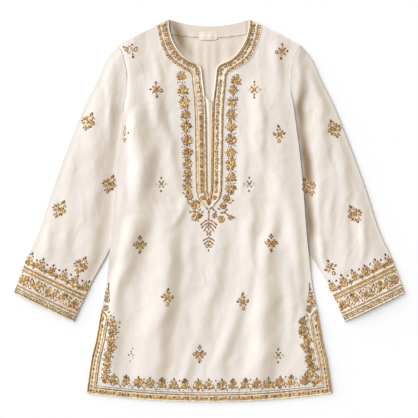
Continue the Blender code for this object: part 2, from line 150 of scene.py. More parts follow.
def ease(start, end, value):
    """Smooth step from 0 at start to 1 at end; start may be the larger."""
    share = np.clip((value - start) / (end - start), 0.0, 1.0)
    return share * share * (3.0 - 2.0 * share)


def smooth_table(knots, values, where):
    """Smooth curve through a table of rising knots, with no overshoot between them."""
    knots = np.asarray(knots, float)
    values = np.asarray(values, float)
    where = np.clip(where, knots[0], knots[-1])
    steps = np.diff(knots)
    slopes = np.diff(values) / steps
    tangents = np.zeros_like(values)
    same_way = slopes[:-1] * slopes[1:] > 0.0
    with np.errstate(divide="ignore", invalid="ignore"):
        mean = 2.0 * slopes[:-1] * slopes[1:] / (slopes[:-1] + slopes[1:])
    tangents[1:-1] = np.where(same_way, mean, 0.0)
    tangents[0], tangents[-1] = slopes[0], slopes[-1]
    index = np.clip(np.searchsorted(knots, where, side="right") - 1, 0, len(steps) - 1)
    t = (where - knots[index]) / steps[index]
    left = values[index] * (1.0 + 2.0 * t) * (1.0 - t) ** 2
    left_turn = tangents[index] * steps[index] * t * (1.0 - t) ** 2
    right = values[index + 1] * t * t * (3.0 - 2.0 * t)
    right_turn = tangents[index + 1] * steps[index] * t * t * (t - 1.0)
    return left + left_turn + right + right_turn


def body_half_width(y):
    return smooth_table(*zip(*BODY_SIDE), y)


def hem_y(x):
    drop = 1.0 - np.minimum(1.0, np.abs(x) / BODY_SIDE[0][1]) ** 2
    return HEM_SIDE_Y + (HEM_MID_Y - HEM_SIDE_Y) * drop


def back_neck_y(x):
    return BACK_NECK_MID_Y + (NECK_POINT[1] - BACK_NECK_MID_Y) * (x / NECK_POINT[0]) ** 2


def side_lift(x, y):
    """How far the body is lifted over the tucked part of a sleeve."""
    by_y = sorted((py, px) for px, py in SLEEVE_INNER)
    inner = smooth_table(*zip(*by_y), y)
    across = ease(inner - LIFT_SPREAD[0], inner - LIFT_SPREAD[1], np.abs(x))
    return SIDE_LIFT * across * ease(*LIFT_TOP_Y, y) * ease(*LIFT_FOOT_Y, y)


def back_top(x, y):
    ripple = np.zeros_like(x)
    for centre, half, height in BACK_RIPPLES:
        ripple += height * np.exp(-((x - centre) / half) ** 2)
    top_y, full_y, fade_y, foot_y = BACK_RIPPLE_YS
    ripple *= ease(top_y, full_y, y) * ease(foot_y, fade_y, y)
    return side_lift(x, y) + CLOTH + ripple


def closed_sheet(name, grids, underside, top, material):
    """Closed wall of cloth through grids of x and y, between two heights."""
    points, index_of, faces = [], {}, []
    for xs, ys in grids:
        lines = []
        for row_x, row_y in zip(xs, ys):
            line = []
            for x, y in zip(row_x, row_y):
                key = (round(float(x), 3), round(float(y), 3))
                if key not in index_of:
                    index_of[key] = len(points)
                    points.append(key)
                line.append(index_of[key])
            lines.append(line)
        for upper, lower in zip(lines, lines[1:]):
            for a, b, c, d in zip(upper, upper[1:], lower[1:], lower):
                face = [corner for n, corner in enumerate((a, d, c, b))
                        if corner not in (a, d, c, b)[:n]]
                if len(face) > 2:
                    faces.append(face)
    plan = np.array(points)
    count = len(plan)
    high = np.column_stack([plan, top(plan[:, 0], plan[:, 1])]) * MM
    low = np.column_stack([plan, underside(plan[:, 0], plan[:, 1])]) * MM
    border = {}
    for face in faces:
        for start, end in zip(face, face[1:] + face[:1]):
            if border.pop((end, start), None) is None:
                border[(start, end)] = True
    rim = [(end, start, start + count, end + count) for start, end in border]
    below = [[corner + count for corner in reversed(face)] for face in faces]
    mesh = bpy.data.meshes.new(name)
    mesh.from_pydata(np.vstack([high, low]).tolist(), [], faces + below + rim)
    mesh.materials.append(material)
    mesh.shade_smooth()
    mesh.set_sharp_from_angle(angle=math.radians(50.0))
    piece = bpy.data.objects.new(name, mesh)
    bpy.context.collection.objects.link(piece)
    return piece


def feed(tree, node, values):
    """Give a node's inputs their values, or the nodes or sockets that feed them."""
    for label, value in values:
        if isinstance(value, bpy.types.Node):
            value = value.outputs[0]
        if isinstance(value, bpy.types.NodeSocket):
            tree.links.new(value, node.inputs[label])
        else:
            node.inputs[label].default_value = value


def add_node(tree, kind, values=(), **settings):
    """New node with its settings and its inputs fed."""
    node = tree.nodes.new(kind)
    for key, value in settings.items():
        setattr(node, key, value)
    feed(tree, node, values)
    return node


def add_ramp(tree, share, ends):
    """Colour between two ends, each a position and a colour."""
    ramp = add_node(tree, "ShaderNodeValToRGB", [("Fac", share)])
    for element, (position, colour) in zip(ramp.color_ramp.elements, ends):
        element.position = position
        element.color = (*colour, 1.0)
    return ramp


def add_tint(tree, colour, share, tint):
    """The colour, multiplied by a tint by a share."""
    return add_node(tree, "ShaderNodeMix", [("Factor", share), (6, colour), (7, (*tint, 1.0))],
                    data_type="RGBA", blend_type="MULTIPLY").outputs[2]


def cloth_material(name, light, dark, weave_scale=1.0):
    """Plain-woven ivory cloth: crossing threads, slubs, a faint uneven colour, and painted shade in deep
    folds and on faces turned from the sun.
    """
    material = bpy.data.materials.new(name)
    material.use_nodes = True
    tree = material.node_tree
    place = add_node(tree, "ShaderNodeTexCoord").outputs["Object"]
    cloud = add_node(tree, "ShaderNodeTexNoise", [("Vector", place), ("Scale", 9.0), ("Detail", 4.0)])
    colour = add_ramp(tree, cloud, ((0.3, dark), (0.7, light)))
    # Painted shade: the colour is darkened by the piece's 'shade' attribute
    painted_shade = add_node(tree, "ShaderNodeAttribute", attribute_name="shade")
    colour = add_tint(tree, colour, painted_shade.outputs["Fac"], PAINTED_SHADE_TINT)
    # Painted shade: faces turned away from the sun are tinted warmer and darker
    normal = add_node(tree, "ShaderNodeNewGeometry").outputs["Normal"]
    lit = add_node(tree, "ShaderNodeVectorMath", [(0, normal), (1, SUN_WAY)], operation="DOT_PRODUCT")
    painted_warm_shade = add_node(tree, "ShaderNodeMapRange", [
        ("Value", lit.outputs["Value"]), ("From Min", SUN_WAY[2] + 0.01), ("From Max", SUN_WAY[2] - 0.15)])
    colour = add_tint(tree, colour, painted_warm_shade, PAINTED_WARM_SHADE_TINT)
    threads_and_slubs = []
    for axis, squeeze in (("X", (1.0, 0.04, 1.0)), ("Y", (0.04, 1.0, 1.0))):
        threads = add_node(tree, "ShaderNodeTexWave", [
            ("Vector", place), ("Scale", 420.0 * weave_scale), ("Distortion", 0.6)], bands_direction=axis)
        drawn_out = add_node(tree, "ShaderNodeMapping", [("Vector", place), ("Scale", squeeze)])
        slubs = add_node(tree, "ShaderNodeTexNoise", [
            ("Vector", drawn_out), ("Scale", 600.0 * weave_scale), ("Detail", 2.0)])
        threads_and_slubs.append(add_node(tree, "ShaderNodeMath", [
            (0, threads.outputs["Fac"]), (1, 0.5), (2, slubs)], operation="MULTIPLY_ADD"))
    height = add_node(tree, "ShaderNodeMath", enumerate(threads_and_slubs), operation="ADD")
    weave = add_node(tree, "ShaderNodeBump", [("Strength", 0.35), ("Distance", 0.0002), ("Height", height)])
    lengthwise = add_node(tree, "ShaderNodeMapping", [
        ("Vector", place), ("Scale", (1.0, RUMPLE_STRETCH, 1.0))])
    crush = add_node(tree, "ShaderNodeTexNoise", [
        ("Vector", lengthwise), ("Scale", 60.0), ("Detail", 3.0), ("Roughness", 0.55), ("Distortion", 0.9)])
    crushed = add_node(tree, "ShaderNodeBump", [
        ("Strength", CRUSH_STRENGTH), ("Distance", 0.001), ("Height", crush), ("Normal", weave)])
    feed(tree, tree.nodes["Principled BSDF"], [
        ("Base Color", colour), ("Normal", crushed), ("Roughness", 0.78), ("Specular IOR Level", 0.25),
        ("Sheen Weight", 0.12), ("Sheen Roughness", 0.5)])
    return material


ivory_cloth = cloth_material("ivory_cloth", (0.818, 0.770, 0.722), (0.772, 0.720, 0.664))
ivory_wrong_side = cloth_material("ivory_wrong_side", (0.79, 0.715, 0.635), (0.74, 0.66, 0.58))

BACK_STEP = 6.0


def back_grid(side):
    """Half of the back's plan as rows from the neck to the hem."""
    shoulder = [(x, back_neck_y(x)) for x in np.linspace(0.0, NECK_POINT[0], 17)]
    slope = np.linspace(0.0, 1.0, 20)[1:]
    shoulder += [(NECK_POINT[0] + s * (BODY_SIDE[-1][1] - NECK_POINT[0]),
                  NECK_POINT[1] + s * (BODY_SIDE[-1][0] - NECK_POINT[1])) for s in slope]
    top_x, top_y = np.array(shoulder).T
    share = top_x / top_x[-1]
    levels = np.arange(BODY_SIDE[-1][0], HEM_SIDE_Y, -BACK_STEP)
    levels = np.append(levels, HEM_SIDE_Y)
    xs, ys = [], []
    for level in levels:
        half = body_half_width(level)
        row_x = half * share
        flat = ease(BODY_SIDE[-1][0], 232.0, level)
        bow = ease(-250.0, HEM_SIDE_Y, level) * (hem_y(row_x) - HEM_SIDE_Y)
        ys.append(level + (1.0 - flat) * (top_y - top_y[-1]) + bow)
        xs.append(row_x)
    return side * np.array(xs), np.array(ys)


def add_sheet(piece, node):
    """Attach a flat cut piece to the frame and hide the model part it stands for."""
    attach(piece, "root")
    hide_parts(node)


back_panel = closed_sheet("back_cloth", (back_grid(1.0), [line[:, ::-1] for line in back_grid(-1.0)]),
                          side_lift, back_top, ivory_wrong_side)
body_outline = [(half, y) for y, half in BODY_SIDE] + [NECK_POINT, (0.0, BACK_NECK_MID_Y)]
body_outline += [(0.0, HEM_MID_Y)]
add_sheet(back_panel, "back_panel")

# Sleeves
# Each is one piece of the same cloth, folded along its outer edge and seamed along its inner
# one: a flattened tube, open at the cuff, whose inner edge is tucked under the body.
SEAM_GAP = 0.45
SLEEVE_OUTER = (
    (200.9, 363.0), (226.6, 331.0), (244.2, 291.5), (272.8, 234.0), (294.8, 181.5),
    (320.0, 115.5), (345.4, 45.0), (374.0, -43.0), (403.7, -109.0), (430.5, -180.4),
)
ARMHOLE_YS = (352.0, 342.0, 331.0, 320.0, 309.0, 298.0, 287.0, 265.0, 248.0, 232.0, 213.0)
TUCKED_ARMHOLE = ((176.0, 190.0), (165.0, 173.0), (151.0, 156.0))
SLEEVE_LAYER_GAP = 0.8
SLEEVE_FOLD_RISE = 2.6
CUFF_BAND_DEPTH = 92.0
SEAM_RISE = (0.5, 0.6)      # right and left
SEAM_SPREAD = 30.0
SLEEVE_ACROSS = 54
SLEEVE_ALONG = 130
CUFF_ROWS = 0.18      # share of a sleeve's rows that lie in its cuff band
# Folds: crest x, y from top to foot, height, left and right widths
RIGHT_SLEEVE_FOLDS = (
    (((220, 358), (229, 305), (239, 265), (246, 221), (246, 177), (244, 133), (249, 89), (244, 45),
      (234, -3), (229, -56)), 2.4, 24, 26),
    (((297, 155), (299, 45), (300, -32), (299, -87), (301, -142)), 1.6, 28, 18),
    (((339, -10), (339, -65), (337, -127)), 1.3, 14, 14),
    (((231, -34), (244, -82), (253, -153)), 2.2, 12, 18),
    (((273, 89), (268, 12), (260, -65)), 1, 18, 16),
)
LEFT_SLEEVE_FOLDS = (
    (((-253, 274), (-251, 188), (-251, 122), (-253, 67), (-260, 6), (-262, -54),
      (-255, -131)), 2.3, 38, 26),
    (((-222, 358), (-222, 298), (-221, 248), (-216, 188)), 0.9, 12, 12),
    (((-191, 384), (-185, 331), (-180, 243), (-180, 155), (-187, 89)), 4.2, 48, 30),
    (((-216, 232), (-211, 155), (-213, 78)), 1.2, 16, 12),
    (((-306, 45), (-310, -32), (-315, -113)), 1.5, 22, 22),
    (((-352, -32), (-356, -113)), 0.9, 14, 14),
)

# Painted shade, darkening the cloth's colour where it lies deep beside the body and faintly in some folds:
# the same kind of table
SLEEVE_PAINTED_SHADES = (
    (((205, 372), (205, 331), (206, 298), (204, 265), (201, 221), (202, 177), (213, 122), (216, 56),
      (219, -10), (223, -76), (229, -142), (232, -175)), 1.0, 15, 21),
    (((250, 205), (262, 150), (272, 100), (278, 60)), 0.15, 12, 14),
    (((-214, 331), (-213, 290), (-205, 232), (-203, 180)), 0.08, 16, 12),
    (((-240, 60), (-246, 0), (-250, -60)), 0.06, 16, 20),
)


def fold_height(folds, x, y):
    """Height of the soft folds: each is a ridge with its own two widths."""
    total = np.zeros_like(x)
    for crest, height, left_width, right_width in folds:
        line = sorted((cy, cx) for cx, cy in crest)
        foot_y, top_y = line[0][0], line[-1][0]
        crest_x = smooth_table(*zip(*line), y)
        wander = 1.7 * np.sin(y / 16.0 + height + crest_x / 40.0) + 0.7 * np.sin(y / 8.3 - x / 15.0)
        offset = x - crest_x + wander
        width = np.where(offset > 0.0, right_width, left_width)
        share = np.clip(np.abs(offset) / width, 0.0, 1.0)
        along = np.clip((top_y - y) / (top_y - foot_y), 0.0, 1.0)
        uneven = 1.0 + 0.16 * np.sin(y / 21.0 + 3.0 * height)
        total += height * uneven * np.sin(np.pi * along) ** 0.6 * np.cos(0.5 * np.pi * share) ** 2
    return total


def add_painted_shade(piece, shades, most):
    """Store how deep in painted shade each point of a piece lies, for its material to darken it."""
    plan = np.array([vertex.co[:2] for vertex in piece.data.vertices]) / MM
    depth = np.clip(fold_height(shades, plan[:, 0], plan[:, 1]), 0.0, most)
    piece.data.attributes.new("shade", "FLOAT", "POINT").data.foreach_set("value", depth)


# Dents of crushed cloth: distance across, height, and height of the creases between them
RUMPLES = ((31.0, 0.50, 0.45), (15.5, 0.24, 0.16), (9.0, 0.10, 0.0))
RUMPLE_PERIOD = 97
RUMPLE_CELLS = np.random.default_rng(5).uniform(-1.0, 1.0, (RUMPLE_PERIOD, RUMPLE_PERIOD))


def rumple_height(x, y, seed):
    """Soft dents with no order, made of smoothly joined random heights at three sizes."""
    total = np.zeros_like(x)
    for apart, height, crease in RUMPLES:
        sway = 7.0 * np.sin(y / 23.0 + seed) + 3.0 * np.sin(y / 11.0 + x / 17.0)
        across = (x + sway) / apart + 9.0 * seed
        along = RUMPLE_STRETCH * (y + 6.0 * np.sin(x / 19.0 - seed)) / apart
        column, row = np.floor(across).astype(int), np.floor(along).astype(int)
        right, up = ease(0.0, 1.0, across - column), ease(0.0, 1.0, along - row)
        near = [[RUMPLE_CELLS[(row + step) % RUMPLE_PERIOD, (column + side) % RUMPLE_PERIOD]
                 for side in (0, 1)] for step in (0, 1)]
        low = near[0][0] * (1.0 - right) + near[0][1] * right
        high = near[1][0] * (1.0 - right) + near[1][1] * right
        dent = low * (1.0 - up) + high * up
        total += height * dent + crease * (1.0 - np.abs(dent)) ** 5
    return total


def slack_waves(x, y, seed):
    """Slight unevenness of cloth that isn't pressed, mostly lengthwise."""
    wide = np.sin(x / 13.0 + 1.2 * np.sin(y / 61.0 + seed) + seed) * np.sin(y / 97.0 + x / 150.0 + seed)
    fine = np.sin(x / 6.1 + 0.9 * np.sin(y / 33.0) + 2.0 * seed) * np.sin(y / 46.0 - x / 61.0 + seed)
    return 0.44 * wide + 0.15 * fine + rumple_height(x, y, seed)


def edge_distance(path, x, y):
    """Distance from points to a path."""
    nearest = np.full(x.shape, np.inf)
    for (x0, y0), (x1, y1) in zip(path, path[1:]):
        length = math.dist((x0, y0), (x1, y1))
        along = np.clip(((x - x0) * (x1 - x0) + (y - y0) * (y1 - y0)) / length, 0.0, length)
        foot_x = x0 + along * (x1 - x0) / length
        foot_y = y0 + along * (y1 - y0) / length
        nearest = np.minimum(nearest, np.hypot(x - foot_x, y - foot_y))
    return nearest


def sleeve_top(x, y, folds, seed):
    """Height of a sleeve's upper face; it is pressed flat where the body lies on it."""
    outside = np.abs(x) - body_half_width(y)
    free = np.where(y > LIFT_FOOT_Y[0], ease(5.0, 34.0, outside), 1.0)
    sewn = ease(205.0, 245.0, y)
    from_edge = np.minimum(edge_distance(SLEEVE_OUTER, np.abs(x), y),
                           edge_distance(SLEEVE_INNER, np.abs(x), y))
    stand = SLEEVE_FOLD_RISE * ease(0.5, 38.0, from_edge) * free
    stand += np.where(x > 0.0, *SEAM_RISE) * sewn * ease(SEAM_SPREAD, 0.0, outside)
    loose = (fold_height(folds, x, y) + slack_waves(x, y, seed) + 0.5) * ease(1.0, 22.0, from_edge)
    return 2.0 * CLOTH + SLEEVE_LAYER_GAP + stand + loose * np.maximum(free, 0.6 * sewn)


def smooth_path(path, shares):
    """Points of a smooth curve through a path, at shares of its length."""
    path = np.array(path, float)
    lengths = np.append(0.0, np.cumsum(np.hypot(*np.diff(path, axis=0).T)))
    where = np.asarray(shares) * lengths[-1]
    return np.column_stack([smooth_table(lengths, column, where) for column in path.T])


def sleeve_plan():
    """Right sleeve's plan: points [along, across], from its outer edge to its inner edge."""
    end = [SLEEVE_OUTER[0]]
    end += [(float(body_half_width(y)) + SEAM_GAP, y) for y in ARMHOLE_YS]
    end += [*TUCKED_ARMHOLE, SLEEVE_INNER[0]]
    across = np.linspace(0.0, 1.0, SLEEVE_ACROSS + 1)
    armhole = smooth_path(end, across)
    steps = np.linspace(0.0, 1.0, SLEEVE_ALONG + 1)
    edges = []
    for path in (SLEEVE_OUTER, SLEEVE_INNER):
        length = sum(math.dist(a, b) for a, b in zip(path, path[1:]))
        cuff = CUFF_BAND_DEPTH / length
        upper = steps / (1.0 - CUFF_ROWS) * (1.0 - cuff)
        lower = 1.0 - (1.0 - steps) / CUFF_ROWS * cuff
        edges.append(smooth_path(path, np.where(steps < 1.0 - CUFF_ROWS, upper, lower)))
    outer, inner = edges
    straight = outer[:, None] * (1.0 - across)[None, :, None] + inner[:, None] * across[None, :, None]
    chord = armhole[0] * (1.0 - across)[:, None] + armhole[-1] * across[:, None]
    keep = (1.0 - steps) ** 3
    return straight + keep[:, None, None] * (armhole - chord)[None]


SLEEVE_RADIUS = 0.5 * (2.0 * CLOTH + SLEEVE_LAYER_GAP)      # of the fold at each edge
SLEEVE_WALL = 0.8


def fold_round(edge, way, start, end, count):
    """Points round the fold at a sleeve's edge, each x, y and z; way points into the sleeve."""
    return [(*(edge + SLEEVE_RADIUS * (1.0 - np.cos(turn)) * way), SLEEVE_RADIUS * (1.0 + np.sin(turn)))
            for turn in np.linspace(start, end, count)]


def make_sleeve(name, side, folds, seed):
    """One sleeve as rings of points round its tube, from the armhole to the cuff."""
    plan = sleeve_plan()
    top, foot = np.pi / 2, -np.pi / 2
    rings = []
    for row in plan:
        out_way = (row[1] - row[0]) / np.linalg.norm(row[1] - row[0])
        in_way = (row[-2] - row[-1]) / np.linalg.norm(row[-2] - row[-1])
        flat = np.array([row[0] + SLEEVE_RADIUS * out_way, *row[1:-1], row[-1] + SLEEVE_RADIUS * in_way])
        heights = sleeve_top(side * flat[:, 0], flat[:, 1], folds, seed)
        rings.append([*fold_round(row[0], out_way, 0.0, top, 4)[:-1],
                      *[(*point, height) for point, height in zip(flat, heights)],
                      *fold_round(row[-1], in_way, top, foot, 7)[1:-1],
                      *[(*point, 0.0) for point in flat[::-1]],
                      *fold_round(row[0], out_way, foot, 0.0, 4)[1:-1]])
    size = len(rings[0])
    vertices = [(side * x * MM, y * MM, z * MM) for ring in rings for x, y, z in ring]
    faces = []
    for row in range(len(rings) - 1):
        for column in range(size):
            after = (column + 1) % size
            face = (row * size + column, row * size + after,
                    (row + 1) * size + after, (row + 1) * size + column)
            faces.append(face if side > 0.0 else face[::-1])
    mesh = bpy.data.meshes.new(name)
    mesh.from_pydata(vertices, [], faces)
    mesh.materials.append(ivory_cloth)
    mesh.shade_smooth()
    for edge in mesh.edges:
        edge.use_edge_sharp = {corner // size for corner in edge.vertices} in ({0}, {len(rings) - 1})
    sleeve = bpy.data.objects.new(name, mesh)
    bpy.context.collection.objects.link(sleeve)
    # Painted shade in the deep strip beside the body and in some folds
    add_painted_shade(sleeve, SLEEVE_PAINTED_SHADES, 1.0)
    wall = sleeve.modifiers.new("wall", "SOLIDIFY")
    wall.thickness = SLEEVE_WALL * MM
    wall.offset = -1.0
    wall.use_even_offset = True
    add_sheet(sleeve, name.replace("_cloth", ""))


SLEEVES = (      # side, name, folds, and the place of its rumples
    (-1.0, "left", LEFT_SLEEVE_FOLDS, 0.7), (1.0, "right", RIGHT_SLEEVE_FOLDS, 2.1))
for side, name, folds, seed in SLEEVES:
    make_sleeve("sleeve_%s_cloth" % name, side, folds, seed)

# Front panel
# The whole front, cut in one with a round neck and a centre slit. It lies on the back, pressed
# along its seams and slack between them, with the soft lengthwise folds of a garment that has
# been shaken out and smoothed by hand.
SLIT_END_Y = 27.0
BAND_TIP_Y = 0.0
BAND_FOOT_X = 24.2      # the band's half width at the slit's end
# Edge x, y of the neck or slit, x, y of the outer edge of the band, y where it meets the side
SECTIONS = (
    (*NECK_POINT, 116.6, 405.5, 363.0),
    (86.9, 401.5, 112.5, 386.0, 352.0),
    (81.4, 379.5, 106.0, 361.0, 342.0),
    (68.2, 354.0, 95.5, 337.5, 331.0),
    (52.8, 336.6, 79.0, 322.0, 320.0),
    (36.3, 326.7, 61.0, 310.0, 309.0),
    (23.0, 321.0, 46.0, 303.0, 298.0),
    (16.0, 311.0, 38.2, 296.0, 287.0),
    (13.2, 285.0, 36.5, 276.0, 265.0),
    (9.2, 254.0, 34.0, 252.0, 248.0),
    (6.6, 232.0, 32.6, 232.0, 232.0),
    (6.0, 213.0, 31.6, 213.0, 213.0),
    (5.1, 160.0, 30.6, 160.0, 160.0),
    (4.3, 103.0, 29.8, 103.0, 103.0),
    (3.5, 48.0, 28.6, 48.0, 48.0),
    (0.0, SLIT_END_Y, BAND_FOOT_X, SLIT_END_Y, SLIT_END_Y),
    (0.0, BAND_TIP_Y, 16.0, BAND_TIP_Y, BAND_TIP_Y),
    (0.0, -150.0, 16.0, -150.0, -150.0),
    (0.0, -300.0, 16.0, -300.0, -300.0),
    (0.0, HEM_SIDE_Y, 16.0, HEM_SIDE_Y, HEM_SIDE_Y),
)
FRONT_STEP = 4.0
BAND_COLUMNS = 8
OPEN_COLUMNS = 46
FRONT_SLACK = 1.1
COLLAR_STAND = 1.15
HEM_FOLD_SHARE = 0.3
FOLD_SHARE = 0.83
SHELL_FOOT = 0.4      # how far over the solid's underside the thin front begins
BODY_FOLDS = (
    (((-183, 402), (-176, 353), (-174, 287), (-172, 228), (-165, 182), (-152, 111), (-147, 52),
      (-150, -6), (-161, -54), (-174, -105), (-187, -164)), 7.6, 36, 42),
    (((-158, -10), (-178, -76), (-200, -142), (-216, -197), (-216, -263), (-213, -384)), 5.2, 30, 36),
    (((-130, 300), (-117, 243), (-101, 188), (-88, 144), (-79, 94), (-73, 45)), 3.4, 26, 20),
    (((-119, 358), (-112, 305), (-106, 252)), 1.6, 16, 14),
    (((-88, 12), (-89, -65), (-90, -113), (-99, -197), (-114, -285), (-123, -417)), 8.4, 58, 40),
    (((-51, 32), (-59, -3), (-77, -34)), 2.4, 16, 14),
    (((15, -21), (22, -98), (11, -164), (-7, -219), (-20, -296)), 3.2, 34, 28),
    (((91, 50), (91, -32), (90, -113), (84, -197)), 3.4, 32, 18),
    (((156, 85), (146, 1), (130, -76), (121, -142)), 3.4, 26, 22),
    (((125, -56), (121, -127), (119, -197), (117, -285), (103, -428)), 8, 46, 42),
    (((106, 300), (111, 210), (113, 144), (114, 56)), 3, 34, 18),
    (((75, -164), (57, -241), (35, -296), (9, -384)), 3.2, 24, 26),
    (((147, 375), (152, 309), (156, 243)), 1.4, 22, 14),
    (((-194, 155), (-196, 89), (-200, 23), (-213, -54), (-222, -113)), 2, 10, 22),
    (((187, 23), (194, -65), (200, -153), (207, -263)), 2, 26, 14),
    (((79, 177), (75, 100), (68, 23)), 1.4, 18, 14),
    (((-42, -38), (-42, -113), (-51, -197)), 1.6, 22, 20),
    (((169, -113), (180, -197), (178, -296)), 1.8, 16, 16),
    (((-29, -280), (-46, -333), (-59, -384)), 2, 16, 18),
)


def front_underside(x, y):
    """Height of the front's underside on the solid's form."""
    from_side = body_half_width(y) - np.abs(x)
    from_hem = y - hem_y(x)
    slack = FRONT_SLACK * ease(6.0, 55.0, from_side) * ease(0.0, 40.0, from_hem)
    collar = ease(60.0, 95.0, from_side) * ease(150.0, 120.0, np.abs(x)) * ease(-30.0, 20.0, y)
    at_hem = HEM_FOLD_SHARE + (1.0 - HEM_FOLD_SHARE) * ease(0.0, 60.0, from_hem)
    sewn = ease(190.0, 240.0, y)
    at_side = sewn * ease(-12.0, 8.0, from_side) + (1.0 - sewn) * ease(2.0, 30.0, from_side)
    folds = FOLD_SHARE * fold_height(BODY_FOLDS, x, y) * at_side * at_hem
    off_band = np.maximum(ease(25.0, 60.0, np.abs(x)), ease(10.0, -40.0, y))
    calm = off_band * ease(2.0, 40.0, from_side) * ease(0.0, 50.0, from_hem)
    waves = (slack_waves(x, y, 0.0) + 0.55) * calm
    stand = np.maximum(slack, COLLAR_STAND * collar)
    return CLOTH + LAYER_GAP + side_lift(x, y) + stand + folds + waves


def front_top(x, y):
    return front_underside(x, y) + CLOTH


def front_grid(side):
    """Half of the front's plan, as rows from the neck, slit or centre line to the side."""
    table = np.array(SECTIONS)
    places = [0.0]
    for index in range(len(table) - 1):
        edge_step = math.dist(table[index, :2], table[index + 1, :2])
        side_step = abs(table[index, 4] - table[index + 1, 4])
        cuts = max(1, round(max(edge_step, side_step) / FRONT_STEP))
        places += [index + cut / cuts for cut in range(1, cuts + 1)]
    rows = np.column_stack([smooth_table(range(len(table)), column, np.array(places))
                            for column in table.T])
    rows[rows[:, 1] <= SLIT_END_Y, 0] = 0.0
    in_band = np.linspace(0.0, 1.0, BAND_COLUMNS + 1)[:-1]
    beyond = np.linspace(0.0, 1.0, OPEN_COLUMNS + 1)
    xs, ys = [], []
    for edge_x, edge_y, band_x, band_y, side_y in rows:
        half = float(body_half_width(side_y))
        row_x = np.append(edge_x + in_band * (band_x - edge_x), band_x + beyond * (half - band_x))
        row_y = np.append(edge_y + in_band * (band_y - edge_y), band_y + beyond * (side_y - band_y))
        bow = ease(-250.0, HEM_SIDE_Y, side_y) * (hem_y(row_x) - HEM_SIDE_Y)
        xs.append(side * row_x)
        ys.append(row_y + bow)
    return np.array(xs), np.array(ys)


front_panel = closed_sheet("front_cloth", (front_grid(1.0), [line[:, ::-1] for line in front_grid(-1.0)]),
                           lambda x, y: front_underside(x, y) + SHELL_FOOT, front_top, ivory_cloth)
add_sheet(front_panel, "front_panel")

# Back neck facing and its label
# A crescent of the same cloth sewn inside the back neck, lying on the back. The small woven
# label under its seam is left bare.
FACING_HALF = 79.0
FACING_TUCK = 6.0           # how far its ends run under the neck band
FACING_SIDE_Y = 387.0
FACING_MID_Y = 379.7
FACING_RISE = 0.25
FACING_WALL = 0.7
FACING_SHELL = 0.4
FACING_EDGE = 0.1           # its height over the back where it runs under the band
# Painted shadow of the neck band over the left of the inside
INSIDE_PAINTED_SHADES = (      # as on the sleeves
    (((-86, 436), (-80, 415), (-73, 395), (-66, 375), (-57, 355), (-42, 335)), 0.85, 16, 28),
)
LABEL_SIZE = (40.0, 18.0)
LABEL_PLACE = (-2.0, 384.0)
LABEL_CORNER = 3.0
LABEL_RISE = 0.75
LABEL_CURL = 0.35
LABEL_SHELL = 0.35


def facing_foot(x):
    return FACING_MID_Y + (FACING_SIDE_Y - FACING_MID_Y) * (x / FACING_HALF) ** 2


def facing_top(x, y):
    puckers = 0.25 * np.sin(x / 3.1 + np.sin(x / 11.0)) * ease(395.0, 381.0, y)
    edge = 0.45 * np.exp(-((y - facing_foot(x) - 2.0) / 2.5) ** 2)
    free = ease(FACING_HALF + FACING_TUCK, FACING_HALF + 1.0, np.abs(x))
    rise = FACING_RISE + FACING_WALL - FACING_EDGE + puckers + edge
    return back_top(x, y) + FACING_EDGE + rise * free


facing_x = np.linspace(-FACING_HALF - FACING_TUCK, FACING_HALF + FACING_TUCK, 87)
facing_share = np.linspace(0.0, 1.0, 13)[:, None]
facing_head = back_neck_y(facing_x) - 0.4
facing_grid = (np.repeat(facing_x[None], 13, axis=0),
               facing_head + facing_share * (facing_foot(facing_x) - facing_head))
back_facing = closed_sheet("back_neck_facing_cloth", (facing_grid,),
                           lambda x, y: facing_top(x, y) - FACING_SHELL, facing_top, ivory_wrong_side)
add_sheet(back_facing, "back_neck_facing")
# Painted shadow of the band darkens the left of the back and the facing
for piece in (back_panel, back_facing):
    add_painted_shade(piece, INSIDE_PAINTED_SHADES, None)

label_u = np.linspace(-1.0, 1.0, 21)
label_v = 0.5 * LABEL_SIZE[1] * np.linspace(1.0, -1.0, 9)[:, None]
past_corner = np.clip((np.abs(label_v) - 0.5 * LABEL_SIZE[1] + LABEL_CORNER) / LABEL_CORNER, 0.0, 1.0)
label_half = 0.5 * LABEL_SIZE[0] - LABEL_CORNER * (1.0 - np.sqrt(1.0 - past_corner ** 2))
label_grid = (LABEL_PLACE[0] + label_half * label_u, LABEL_PLACE[1] + label_v + 0.0 * label_u)


def label_top(x, y):
    return facing_top(x, y) + LABEL_RISE + LABEL_CURL * np.cos((x - LABEL_PLACE[0]) / 9.0)


label_satin = cloth_material("label_satin", (0.84, 0.79, 0.72), (0.80, 0.745, 0.67))
label_satin.node_tree.nodes["Principled BSDF"].inputs["Roughness"].default_value = 0.45
neck_label = closed_sheet("neck_label_cloth", (label_grid,), lambda x, y: label_top(x, y) - LABEL_SHELL,
                          label_top, label_satin)
add_sheet(neck_label, "neck_label")

# Placket strip
# The plain under-lap of the centre slit. It lies on the back and shows as a bright strip in
# the slit, from where the left edge crosses over to the foot.
STRIP_HALF = 13.6
STRIP_TOP_YS = (256.0, 230.0)
STRIP_FOOT_Y = 19.0
STRIP_RISE = 1.3
STRIP_CROWN = (4.5, 1.2)      # half width and height of its soft middle, which fills the slit
STRIP_SHELL = 0.5


def strip_top(x, y):
    return back_top(x, y) + STRIP_RISE + STRIP_CROWN[1] * np.exp(-(x / STRIP_CROWN[0]) ** 2)


